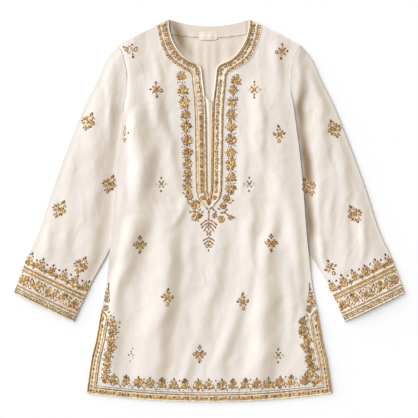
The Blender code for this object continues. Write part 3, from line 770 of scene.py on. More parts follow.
strip_x = np.linspace(-STRIP_HALF, STRIP_HALF, 25)
strip_head = np.interp(strip_x, (-STRIP_HALF, STRIP_HALF), STRIP_TOP_YS)
strip_share = np.linspace(0.0, 1.0, 61)[:, None]
strip_grid = (np.repeat(strip_x[None], 61, axis=0), strip_head + strip_share * (STRIP_FOOT_Y - strip_head))
strip_cloth = cloth_material("strip_cloth", (0.88, 0.84, 0.78), (0.84, 0.79, 0.72))
placket_strip = closed_sheet("placket_strip_cloth", (strip_grid,),
                             lambda x, y: strip_top(x, y) - STRIP_SHELL, strip_top, strip_cloth)
add_sheet(placket_strip, "placket_strip")

# Borders
# Peach-cream ribbon sewn down round the neck and slit, round the cuffs, along the hem and up
# the side slits, under the thread work. Each lies on the cloth it is sewn to.
RIBBON_RISE = 0.15
RIBBON_WALL = 0.55
RIBBON_EDGE = 0.08          # its height over the cloth where it thins out and only ivory shows
NECK_RIBBON_SHARE = 0.74
NECK_MARGIN_Y = 305.0       # the ribbon's ivory margin is only above this
SLIT_BORDER_TOP_Y = -219.0
SLIT_BORDER_TIP_Y = -184.0
SLIT_MITRE_Y = -220.0
SLIT_MITRE_SLOPE = 0.87
CUFF_RIBBON_TOP = 74.0


def ribbon_top(x, y):
    return front_top(x, y) + RIBBON_RISE + RIBBON_WALL


def ribbon_foot(x, y):
    return front_top(x, y) + RIBBON_RISE


def over_mitre(x, y):
    """How far a point of a slit border lies above its mitre; below it this is negative."""
    return y + SLIT_MITRE_SLOPE * (body_half_width(y) - np.abs(x)) - SLIT_MITRE_Y


def slit_ribbon_top(x, y):
    rise = (RIBBON_RISE + RIBBON_WALL - RIBBON_EDGE) * ease(16.0, 0.0, over_mitre(x, y))
    return front_top(x, y) + RIBBON_EDGE + rise


def over_cuff(x, y):
    """Distance from the edge of the cuff."""
    return edge_distance((SLEEVE_OUTER[-1], SLEEVE_INNER[-1]), np.abs(x), y)


def show_ivory(piece, shows):
    """Give ivory cloth to the faces of a ribbon whose middles, in millimetres, are outside it."""
    piece.data.materials.append(ivory_cloth)
    middles = np.array([face.center[:2] for face in piece.data.polygons]) / MM
    piece.data.polygons.foreach_set("material_index", shows(middles[:, 0], middles[:, 1]).astype(int))


peach_ribbon = cloth_material("peach_ribbon", (0.91, 0.77, 0.64), (0.86, 0.70, 0.56), 0.7)
neck_band_grids = []
for side in (1.0, -1.0):
    xs, ys = front_grid(side)
    last = int(np.argmin(np.abs(ys[:, 0] - BAND_TIP_Y)))
    xs, ys = xs[:last + 1, :BAND_COLUMNS + 1].copy(), ys[:last + 1, :BAND_COLUMNS + 1].copy()
    foot = ys[:, 0] < SLIT_END_Y
    xs[foot] *= ys[foot] / SLIT_END_Y * BAND_FOOT_X / np.maximum(np.abs(xs[foot, -1:]), 1.0)
    neck_band_grids.append((xs, ys))
band_xs, band_ys = neck_band_grids[0]
left_band_grid = [line[:, ::-1] for line in neck_band_grids[1]]
neck_band = closed_sheet("neck_band_ribbon", (neck_band_grids[0], left_band_grid), ribbon_foot, ribbon_top,
                         peach_ribbon)


def in_neck_margin(x, y):
    """Whether each point lies beyond the ribbon's share of the band's width, above the slit."""
    middle_x, middle_y = (0.5 * (part[:-1, 1:] + part[1:, :-1]) for part in (band_xs, band_ys))
    share = np.tile(np.arange(BAND_COLUMNS) + 0.5, (len(middle_x), 1)).ravel() / BAND_COLUMNS
    near = [int(np.argmin(np.hypot(middle_x - px, middle_y - py))) for px, py in zip(np.abs(x), y)]
    return (middle_y.ravel()[near] > NECK_MARGIN_Y) & (share[near] > NECK_RIBBON_SHARE)


show_ivory(neck_band, in_neck_margin)
add_sheet(neck_band, "neck_band")

hem_x = np.linspace(-BODY_SIDE[0][1], BODY_SIDE[0][1], 131)
hem_share = np.linspace(0.0, 1.0, 7)[:, None]
hem_top_y = hem_y(hem_x) + BORDER_WIDTH
hem_bottom_y = hem_y(hem_x) + 0.2
hem_half = body_half_width(hem_top_y) / BODY_SIDE[0][1]
hem_grid = (hem_x * (hem_half + hem_share * (1.0 - hem_half)),
            hem_top_y + hem_share * (hem_bottom_y - hem_top_y))
hem_border = closed_sheet("hem_ribbon", (hem_grid,), ribbon_foot, ribbon_top, peach_ribbon)
add_sheet(hem_border, "hem_border")

slit_across = np.linspace(0.0, 1.0, 7)
slit_head = SLIT_BORDER_TIP_Y + slit_across * (SLIT_BORDER_TOP_Y - SLIT_BORDER_TIP_Y)
slit_foot = hem_y(BODY_SIDE[0][1] - slit_across * BORDER_WIDTH) + BORDER_WIDTH
slit_y = slit_head + np.linspace(0.0, 1.0, 58)[:, None] * (slit_foot - slit_head)
for side, name in ((1.0, "right"), (-1.0, "left")):
    slit_x = side * (body_half_width(slit_y) - slit_across * BORDER_WIDTH - 0.2)
    slit_grid = (slit_x, slit_y) if side < 0.0 else (slit_x[:, ::-1], slit_y[:, ::-1])
    slit_border = closed_sheet("slit_ribbon_" + name, (slit_grid,),
                               lambda x, y: slit_ribbon_top(x, y) - RIBBON_WALL, slit_ribbon_top,
                               peach_ribbon)
    show_ivory(slit_border, lambda x, y: over_mitre(x, y) > 0.0)
    add_sheet(slit_border, "slit_border_" + name)

for side, name, folds, seed in SLEEVES[::-1]:
    cuff_plan = sleeve_plan()[-int(round(SLEEVE_ALONG * CUFF_ROWS)) - 1:]
    for row in cuff_plan:
        across = (row[-1] - row[0]) / np.linalg.norm(row[-1] - row[0])
        row[0] += 0.9 * SLEEVE_RADIUS * across
        row[-1] -= 0.9 * SLEEVE_RADIUS * across
    cuff_grid = (side * cuff_plan[..., 0], cuff_plan[..., 1])
    if side > 0.0:
        cuff_grid = (cuff_grid[0][:, ::-1], cuff_grid[1][:, ::-1])

    def cuff_top(x, y, folds=folds, seed=seed):
        thins = ease(CUFF_RIBBON_TOP + 20.0, CUFF_RIBBON_TOP, over_cuff(x, y))
        rise = RIBBON_EDGE + (RIBBON_RISE + RIBBON_WALL - RIBBON_EDGE) * thins
        return sleeve_top(x, y, folds, seed) + rise

    cuff_border = closed_sheet("cuff_ribbon_" + name, (cuff_grid,),
                               lambda x, y: cuff_top(x, y) - RIBBON_WALL, cuff_top, peach_ribbon)
    show_ivory(cuff_border, lambda x, y: over_cuff(x, y) > CUFF_RIBBON_TOP)
    add_sheet(cuff_border, "cuff_border_" + name)

# Piping and couched cords
# An ivory cord binds the neck and the top of the slit. Cords of gold, olive, brown and cream,
# laid on the ribbon and sewn down, mark off each border.
THREADS = {
    "dark": (0.150, 0.080, 0.035), "brown": (0.290, 0.170, 0.080), "copper": (0.500, 0.250, 0.095),
    "gold": (0.620, 0.370, 0.130), "olive": (0.420, 0.310, 0.095), "pale": (0.930, 0.810, 0.620),
    "straw": (0.800, 0.560, 0.260),
}
CORD_STEP = 2.5
CORD_LIFT = 0.2
PIPING_RADIUS = 1.5
PIPING_LIFT = 0.9
PIPING_INSET = 1.6
PIPING_FOOT_Y = 236.0
ROUND_FOOT_Y = 300.0      # the neck's round is above this, and its slit below


def thread_material(name, colour):
    """Twisted thread or beads with a low metallic gleam."""
    material = bpy.data.materials.new(name + "_thread")
    material.use_nodes = True
    tree = material.node_tree
    place = add_node(tree, "ShaderNodeTexCoord").outputs["Object"]
    mottle = add_node(tree, "ShaderNodeTexNoise", [("Vector", place), ("Scale", 140.0), ("Detail", 3.0)])
    shade = add_ramp(tree, mottle, ((0.32, [0.62 * value for value in colour]),
                                    (0.68, [min(1.0, 1.3 * value) for value in colour])))
    strands = add_node(tree, "ShaderNodeTexWave", [
        ("Vector", place), ("Scale", 330.0), ("Distortion", 2.0)], bands_direction="DIAGONAL")
    ridge = add_node(tree, "ShaderNodeBump", [
        ("Strength", 0.5), ("Distance", 0.0003), ("Height", strands.outputs["Fac"])])
    feed(tree, tree.nodes["Principled BSDF"], [
        ("Base Color", shade), ("Normal", ridge), ("Roughness", 0.42),
        ("Metallic", 0.0 if name == "pale" else 0.2), ("Specular IOR Level", 0.5)])
    return material


thread_names = list(THREADS)
thread_materials = [thread_material(name, colour) for name, colour in THREADS.items()]
piping_ivory = cloth_material("piping_ivory", (0.90, 0.85, 0.77), (0.85, 0.795, 0.71), 1.6)

ground = bpy.data.collections.new("cloth under the thread work")
bpy.context.scene.collection.children.link(ground)
for piece in list(bpy.context.scene.objects):
    if piece.type == "MESH" and (piece.name.endswith("_cloth") or "ribbon" in piece.name):
        ground.objects.link(piece)


def start_tree(name, inputs):
    """New Geometry Nodes tree with its own named inputs; gives the tree, its ends and ids."""
    tree = bpy.data.node_groups.new(name, "GeometryNodeTree")
    tree.is_modifier = True
    tree.interface.new_socket("Geometry", in_out="INPUT", socket_type="NodeSocketGeometry")
    ids = {label: tree.interface.new_socket(label, in_out="INPUT",
                                            socket_type="NodeSocket" + kind).identifier for label,
           kind in inputs}
    tree.interface.new_socket("Geometry", in_out="OUTPUT", socket_type="NodeSocketGeometry")
    return tree, add_node(tree, "NodeGroupInput").outputs, add_node(tree, "NodeGroupOutput"), ids


def read(tree, name, kind):
    """A named attribute of the geometry."""
    node = add_node(tree, "GeometryNodeInputNamedAttribute", [("Name", name)], data_type=kind)
    return node.outputs["Attribute"]


def add_drape(tree, source, result, geometry):
    """Let the geometry down onto the cloth below it, keeping its own height above the cloth."""
    cloth = add_node(tree, "GeometryNodeCollectionInfo", [("Collection", source["Ground"])])
    solid = add_node(tree, "GeometryNodeRealizeInstances", [("Geometry", cloth)])
    here = add_node(tree, "GeometryNodeInputPosition")
    split = add_node(tree, "ShaderNodeSeparateXYZ", [("Vector", here)])
    plan = [(axis, split.outputs[axis]) for axis in "XY"]
    above = add_node(tree, "ShaderNodeCombineXYZ", [*plan, ("Z", 0.5)])
    fall = add_node(tree, "GeometryNodeRaycast", [
        ("Target Geometry", solid), ("Source Position", above), ("Ray Direction", (0.0, 0.0, -1.0)),
        ("Ray Length", 1.0)])
    landed = add_node(tree, "ShaderNodeSeparateXYZ", [("Vector", fall.outputs["Hit Position"])])
    raised = add_node(tree, "ShaderNodeMath", [(0, landed.outputs["Z"]), (1, split.outputs["Z"])],
                      operation="ADD")
    raised = add_node(tree, "ShaderNodeMath", [(0, raised), (1, source["Lift"])], operation="ADD")
    place = add_node(tree, "ShaderNodeCombineXYZ", [*plan, ("Z", raised)])
    missed = add_node(tree, "FunctionNodeBooleanMath", [(0, fall.outputs["Is Hit"])], operation="NOT")
    marked = add_node(tree, "GeometryNodeStoreNamedAttribute", [
        ("Geometry", geometry), ("Name", "missed"), ("Value", missed)], data_type="BOOLEAN", domain="POINT")
    down = add_node(tree, "GeometryNodeSetPosition", [("Geometry", marked), ("Position", place)])
    kept = add_node(tree, "GeometryNodeDeleteGeometry", [
        ("Geometry", down), ("Selection", read(tree, "missed", "BOOLEAN"))], domain="POINT")
    painted = add_node(tree, "GeometryNodeSetMaterialIndex", [
        ("Geometry", kept), ("Material Index", read(tree, "colour", "INT"))])
    smooth = add_node(tree, "GeometryNodeSetShadeSmooth", [("Geometry", painted)])
    feed(tree, result, [(0, smooth)])


cord_tree, source, result, cord_ids = start_tree("cords laid on cloth", (
    ("Ground", "Collection"), ("Lift", "Float"), ("Step", "Float")))
line = add_node(cord_tree, "GeometryNodeMeshToCurve", [("Mesh", source["Geometry"])])
even = add_node(cord_tree, "GeometryNodeResampleCurve", [("Curve", line), ("Length", source["Step"])],
                mode="LENGTH")
thick = read(cord_tree, "radius", "FLOAT")
sized = add_node(cord_tree, "GeometryNodeSetCurveRadius", [("Curve", even), ("Radius", thick)])
ring = add_node(cord_tree, "GeometryNodeCurvePrimitiveCircle", [("Resolution", 6), ("Radius", 1.0)])
tube = add_node(cord_tree, "GeometryNodeCurveToMesh", [
    ("Curve", sized), ("Profile Curve", ring), ("Fill Caps", True), ("Scale", thick)])
flat = add_node(cord_tree, "GeometryNodeTransform", [("Geometry", tube), ("Scale", (1.0, 1.0, 0.55))])
add_drape(cord_tree, source, result, flat)


def lay(name, mesh, tree, ids, inputs, materials):
    """Lay cords or stitches by a tree and turn them into the piece's own plain mesh."""
    piece = bpy.data.objects.new(name, mesh)
    bpy.context.collection.objects.link(piece)
    nodes = piece.modifiers.new("laid", "NODES")
    nodes.node_group = tree
    for label, value in inputs.items():
        nodes[ids[label]] = value
    graph = bpy.context.evaluated_depsgraph_get()
    laid = bpy.data.meshes.new_from_object(piece.evaluated_get(graph), depsgraph=graph)
    piece.modifiers.clear()
    piece.data = laid
    bpy.data.meshes.remove(mesh)
    for slot, material in enumerate(materials):
        if slot < len(laid.materials):
            laid.materials[slot] = material
        else:
            laid.materials.append(material)
    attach(piece, "root")
    return piece


def lay_cords(name, cords, materials=thread_materials, lift=CORD_LIFT, node=None):
    """Cords given as (points in mm, radius in mm, thread name), as one piece."""
    points, edges, radius, colour = [], [], [], []
    for path, thick, thread in cords:
        start = len(points)
        points += [(x * MM, y * MM, 0.0) for x, y in path]
        edges += [(start + n, start + n + 1) for n in range(len(path) - 1)]
        radius += [thick * MM] * len(path)
        colour += [thread_names.index(thread) if thread else 0] * len(path)
    mesh = bpy.data.meshes.new(name)
    mesh.from_pydata(points, edges, [])
    mesh.attributes.new("radius", "FLOAT", "POINT").data.foreach_set("value", radius)
    mesh.attributes.new("colour", "INT", "POINT").data.foreach_set("value", colour)
    piece = lay(name, mesh, cord_tree, cord_ids,
                {"Ground": ground, "Lift": lift * MM, "Step": CORD_STEP * MM}, materials)
    if node:
        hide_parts(node)


def neck_line(side, share, inset=0.0, first=0, last=None, slit_share=None):
    """Path along the neck band at a share of its width, from the shoulder to the foot."""
    edge = np.column_stack([band_xs[:, 0], band_ys[:, 0]])
    band = np.column_stack([band_xs[:, -1], band_ys[:, -1]])
    width = np.linalg.norm(band - edge, axis=1, keepdims=True)
    if slit_share is not None:
        share = share + (slit_share - share) * ease(309.0, 297.0, band[:, 1:])
    line = edge + (band - edge) * (share + inset / np.maximum(width, 1.0))
    return [(side * x, y) for x, y in line[first:last]]


PIPING_TAIL = ((-7.2, 248.0), (-4.6, 243.5), (-1.0, 240.0), (3.2, 236.5), (7.0, 233.5))
for side, name in ((1.0, "right"), (-1.0, "left")):
    path = [point for point in neck_line(side, 0.0, PIPING_INSET) if point[1] > PIPING_FOOT_Y]
    if side < 0.0:
        path = [point for point in path if point[1] > 252.0] + list(PIPING_TAIL)
    lay_cords("neck_piping_%s_cord" % name, [(path, PIPING_RADIUS, None)], [piping_ivory], PIPING_LIFT,
              "neck_piping_" + name)

round_last = int(np.argmin(np.abs(band_ys[:, 0] - ROUND_FOOT_Y)))
cords = []
for side in (1.0, -1.0):
    right = side > 0.0
    edge_share = 0.13 if right else 0.26
    # path, the y it ends at, cord radius, thread
    for path, foot_y, radius, thread in (
            (neck_line(side, 0.0, 1.2, first=round_last), SLIT_END_Y, 0.7, "brown"),
            (neck_line(side, 0.17, slit_share=edge_share), 17.0, 1.4, "gold"),
            (neck_line(side, 0.25, slit_share=edge_share + 0.09), 15.0, 0.7, "brown"),
            ([] if right else neck_line(side, 0.15, first=round_last), 21.0, 1.3, "pale"),
            (neck_line(side, 0.60, slit_share=0.80), None, 1.3, "pale"),
            (neck_line(side, 0.68, slit_share=0.89), None, 0.9, "straw"),
            (neck_line(side, 0.735, slit_share=0.96), None, 0.8 if right else 1.0, "brown")):
        if path:
            cords.append(([p for p in path if foot_y is None or p[1] > foot_y], radius, thread))
lay_cords("neck_cords", cords)

# Thread work on the neck band
# Beads and satin stitches are worked from five small shapes, set one by one. Round the neck
# ovals, bars and scrolls take turns. Down the slit the left leg is worked close below an open
# head, and the right one in spaced scrolls and bars. Small picots edge the curve.
SHAPES = ("leaf", "knot", "bar", "loop", "curl")


def add_shape(name, rows, closed):
    """Small unit shape: rows of points, joined across and, when closed, round each row."""
    points = np.array(rows, float)
    count, across = points.shape[:2]
    mesh = bpy.data.meshes.new(name)
    faces = []
    for row in range(count - 1):
        for column in range(across if closed else across - 1):
            after = (column + 1) % across
            faces.append((row * across + column, row * across + after,
                          (row + 1) * across + after, (row + 1) * across + column))
    mesh.from_pydata(points.reshape(-1, 3).tolist(), [], faces)
    shaper = bmesh.new()
    shaper.from_mesh(mesh)
    bmesh.ops.remove_doubles(shaper, verts=shaper.verts, dist=0.001)
    shaper.to_mesh(mesh)
    shaper.free()
    shape = bpy.data.objects.new(name, mesh)
    shapes.objects.link(shape)


def dome_rows(steps, width):
    """Long low dome of unit size whose half width follows the given profile."""
    rows = []
    for along in np.linspace(0.0, 1.0, steps + 1):
        half = width(along)
        crown = math.sin(math.pi * along) ** 0.5 if 0.0 < along < 1.0 else 0.0
        rows.append([(half * u, along - 0.5, (1.0 - u * u) * crown - 0.12)
                     for u in (-1.0, -0.6, 0.0, 0.6, 1.0)])
    return rows


def tube_rows(path, thick):
    """Thin tube round a flat path; thick gives its radius at each point."""
    rows = []
    for n, (x, y) in enumerate(path):
        before, after = path[max(0, n - 1)], path[min(len(path) - 1, n + 1)]
        length = math.dist(before, after)
        out = ((after[1] - before[1]) / length, (before[0] - after[0]) / length)
        rows.append([(x + thick[n] * math.cos(a) * out[0], y + thick[n] * math.cos(a) * out[1],
                      0.5 * math.sin(a)) for a in (0.0, math.pi / 2, math.pi, 3 * math.pi / 2)])
    return rows


shapes = bpy.data.collections.new("shapes")
bpy.context.scene.collection.children.link(shapes)
add_shape("0 leaf", dome_rows(6, lambda t: 0.5 * abs(math.sin(math.pi * t)) ** 0.8), False)
knot_rows = [[(0.5 * r * math.cos(a), 0.5 * r * math.sin(a), z) for a in np.arange(8) * math.pi / 4]
             for r, z in ((1.0, -0.12), (0.85, 0.45), (0.45, 0.85), (0.0, 0.9))]
add_shape("1 knot", knot_rows, True)
add_shape("2 bar", dome_rows(6, lambda t: 0.5 * min(1.0, 2.2 * abs(math.sin(math.pi * t)))), False)
turns = np.linspace(0.0, 2.0 * math.pi, 13)
loop_path = [(0.40 * math.sin(a) * (1.0 - 0.25 * math.cos(a)), 0.40 * math.cos(a)) for a in turns]
add_shape("3 loop", tube_rows(loop_path, [0.13] * 13), True)
turns = np.linspace(-0.3, 1.25, 11) * math.pi
curl_path = [(0.44 * (1.0 - 0.35 * n / 10) * math.cos(a), 0.44 * (1.0 - 0.35 * n / 10) * math.sin(a))
             for n, a in enumerate(turns)]
add_shape("4 curl", tube_rows(curl_path, np.linspace(0.15, 0.07, 11)), True)

stitch_tree, source, result, stitch_ids = start_tree(
    "stitches set on cloth", (("Ground", "Collection"), ("Shapes", "Collection"), ("Lift", "Float")))
chosen = add_node(stitch_tree, "GeometryNodeCollectionInfo", [
    ("Collection", source["Shapes"]), ("Separate Children", True), ("Reset Children", True)])
turned = add_node(stitch_tree, "ShaderNodeCombineXYZ", [("Z", read(stitch_tree, "turn", "FLOAT"))])
placed = add_node(stitch_tree, "GeometryNodeInstanceOnPoints", [
    ("Points", source["Geometry"]), ("Instance", chosen), ("Pick Instance", True),
    ("Instance Index", read(stitch_tree, "shape", "INT")), ("Rotation", turned),
    ("Scale", read(stitch_tree, "size", "FLOAT_VECTOR"))])
real = add_node(stitch_tree, "GeometryNodeRealizeInstances", [("Geometry", placed)])
add_drape(stitch_tree, source, result, real)

STITCH_LIFT = 0.1
OUTLINE_BEYOND = (2.0, 1.9)      # how much longer and wider a petal's outline is than its satin
marks = []      # the stitches in hand, each as stitch() is given it


def stitch(shape, thread, x, y, turn, length, width, height):
    """One stitch, in millimetres and degrees; a turn of 0 lets it point towards +Y."""
    marks.append((shape, thread, x, y, turn, length, width, height))


def petal(x, y, turn, reach, length, width, thread, outline="brown"):
    """Satin petal with a darker outline, its middle at a reach from (x, y)."""
    a = math.radians(turn + 90.0)
    px, py = x + reach * math.cos(a), y + reach * math.sin(a)
    stitch("leaf", outline, px, py, turn, length + OUTLINE_BEYOND[0], width + OUTLINE_BEYOND[1], 0.3)
    stitch("leaf", thread, px, py, turn, length, width, 1.15)


def set_stitches(name):
    """Set the stitches in hand on the cloth as one piece."""
    shape, thread, x, y, turn, length, width, height = zip(*marks)
    mesh = bpy.data.meshes.new(name)
    mesh.from_pydata([(px * MM, py * MM, 0.0) for px, py in zip(x, y)], [], [])
    fields = (
        ("shape", "INT", "value", [SHAPES.index(each) for each in shape]),
        ("colour", "INT", "value", [thread_names.index(each) for each in thread]),
        ("turn", "FLOAT", "value", [math.radians(each) for each in turn]),
        ("size", "FLOAT_VECTOR", "vector",
         [each * MM for size in zip(width, length, height) for each in size]))
    for label, kind, field, values in fields:
        mesh.attributes.new(label, kind, "POINT").data.foreach_set(field, values)
    piece = lay(name, mesh, stitch_tree, stitch_ids,
                {"Ground": ground, "Shapes": shapes, "Lift": STITCH_LIFT * MM}, thread_materials)
    marks.clear()


def along_path(path, pitch, start=0.0):
    """Points each pitch along a path, with the path's direction in degrees."""
    path = np.array(path, float)
    lengths = np.append(0.0, np.cumsum(np.hypot(*np.diff(path, axis=0).T)))
    where = np.arange(start + 0.5 * pitch, lengths[-1] - 0.3 * pitch, pitch)
    (xs, ys), (ahead_x, ahead_y), (behind_x, behind_y) = (
        [np.interp(where + shift, lengths, column) for column in path.T] for shift in (0.0, 0.5, -0.5))
    return list(zip(xs, ys, np.degrees(np.arctan2(ahead_y - behind_y, ahead_x - behind_x))))


chance = np.random.default_rng(41)
for side in (1.0, -1.0):
    for n, (x, y, angle) in enumerate(along_path(neck_line(side, 0.40, last=round_last + 2), 10.6, 2.0)):
        turn = angle - 90.0 + chance.normal(0.0, 5.0)
        c, s = math.cos(math.radians(angle)), math.sin(math.radians(angle))
        stitch("knot", ("straw", "pale")[n % 2], x, y, turn, 8.4, 8.0, 0.2)
        if n % 3 == 1:
            stitch("loop", "brown", x, y, turn + 90.0, 10.4, 9.4, 1.1)
            stitch("bar", "dark", x, y, turn + 90.0, 6.4, 2.2, 1.1)
        elif n % 3 == 2:
            for shift in (-2.6, 2.6):
                stitch("bar", "brown", x + shift * c, y + shift * s, turn + 90.0, 9.2, 2.3, 1.0)
            stitch("bar", "dark", x, y, turn, 5.6, 2.2, 1.1)
        else:
            stitch("curl", "brown", x, y, turn + 60.0, 10.0, 9.2, 1.1)
            stitch("knot", "dark", x, y, turn, 3.8, 3.4, 1.2)
        stitch("knot", "straw", x + 5.3 * c, y + 5.3 * s, 0.0, 2.2, 2.2, 0.8)
    for n, (x, y, angle) in enumerate(along_path(neck_line(side, 0.85, last=round_last - 4), 4.9)):
        thread = ("gold", "copper", "straw", "gold", "brown")[n % 5]
        stitch("leaf", thread, x, y, angle + chance.normal(0.0, 12.0), 6.4, 4.2, 0.9)
    column = [point for point in neck_line(side, 0.49, first=round_last + 2) if point[1] > 36.0]
    if side < 0.0:
        for n, (x, y, angle) in enumerate(along_path(column, 5.0)):
            turn = angle - 90.0
            loose = y > 212.0
            if not loose:
                stitch("knot", ("straw", "copper", "copper")[n % 3], x, y, turn, 6.0, 7.6, 0.25)
            if not loose or n % 2:
                kind = ("bar", "loop", "bar", "curl")[n % 4]
                thread = "brown" if loose else ("brown", "copper", "brown", "straw")[n % 4]
                stitch(kind, thread, x + chance.normal(0, 0.5), y, turn + 90.0 + chance.normal(0.0, 16.0),
                       7.4, 2.4 if kind == "bar" else 5.8, 1.1)
            stitch("knot", "straw" if n % 3 else "dark", x + (2.4 if n % 2 else -2.4), y + 2.4, 0.0, 2.0,
                   2.0, 1.3)
    else:
        for n, (x, y, angle) in enumerate(along_path(column, 8.6)):
            turn = angle - 90.0
            stitch("knot", ("straw", "pale")[n % 2], x, y, turn, 8.6, 7.8, 0.15)
            kind = ("curl", "loop", "bar", "curl", "bar")[n % 5]
            if kind == "bar":
                for shift in (-2.2, 2.2):
                    stitch("bar", "brown", x, y + shift, turn + 90.0, 7.4, 1.9, 1.1)
                stitch("bar", "dark", x - 2.0, y, turn, 6.0, 1.8, 1.1)
            else:
                stitch(kind, "brown", x, y, turn + chance.choice((0.0, 90.0, 180.0)), 8.8, 8.4, 1.3)
                stitch("knot", "dark", x + 0.4, y, 0.0, 2.4, 2.4, 1.2)
            stitch("knot", "straw", x, y + 4.3, 0.0, 2.4, 2.0, 0.9)
    fx, fy = side * 12.6, 28.0
    for n in range(5):
        petal(fx, fy, 72.0 * n + 10.0, 3.2, 4.0, 3.0, "copper" if n % 2 else "gold")
    stitch("knot", "straw", fx, fy, 0.0, 2.6, 2.6, 1.5)
stitch("knot", "gold", 0.0, 33.5, 0.0, 9.0, 8.5, 0.5)
petal(-0.3, 19.0, 180.0, 0.0, 15.5, 7.6, "brown", "dark")
stitch("leaf", "copper", -0.3, 19.0, 0.0, 9.0, 2.2, 1.6)
set_stitches("neck_band_stitches")

# Blossom columns beside the band
# A chain of small blossoms down each side of the placket, no two quite alike, closing round
# its foot over a pendant palmette and a smaller drop.
LEFT_BLOSSOMS = (
    (-60.5, 296, "lotus", 11.5, 8), (-57, 266, "lotus", 13, 0), (-54, 237, "cross", 12.5, 0),
    (-51.5, 211, "lotus", 12, 0), (-50, 184.5, "lozenge", 12.5, 0), (-48.5, 155, "rosette", 13, 0),
    (-47.5, 127.5, "rosette", 12.5, 0), (-47.5, 103.5, "rosette", 11.5, 0), (-46.8, 84, "lotus", 10.5, 0),
    (-46.8, 66.5, "loops", 10, 0), (-46.5, 49, "lotus", 10.5, 180), (-43.5, 31, "cross", 9.5, 30),
    (-30, 13, "rosette", 11.5, 0), (-28, -12.5, "lotus", 12.5, 150),
)
RIGHT_BLOSSOMS = (
    (59.5, 288, "lotus", 12.5, -8), (53.5, 264, "lozenge", 11.5, 0), (51.5, 236, "lotus", 12.5, 180),
    (49.5, 210, "loops", 12.5, 0), (48.5, 184, "lozenge", 12.5, 0), (48.5, 155.5, "rosette", 13, 0),
    (48.5, 127, "lozenge", 12.5, 0), (47.5, 101, "cross", 12.5, 0), (48.5, 74, "lotus", 12, 0),
    (46.8, 46, "lotus", 12.5, 180), (38.5, 26, "rosette", 9, 0), (31.5, 10.5, "cross", 8, 20),
    (26.5, -19, "rosette", 8.5, 0), (11.8, -11, "rosette", 6, 0), (47.5, -16, "rosette", 6, 0),
)


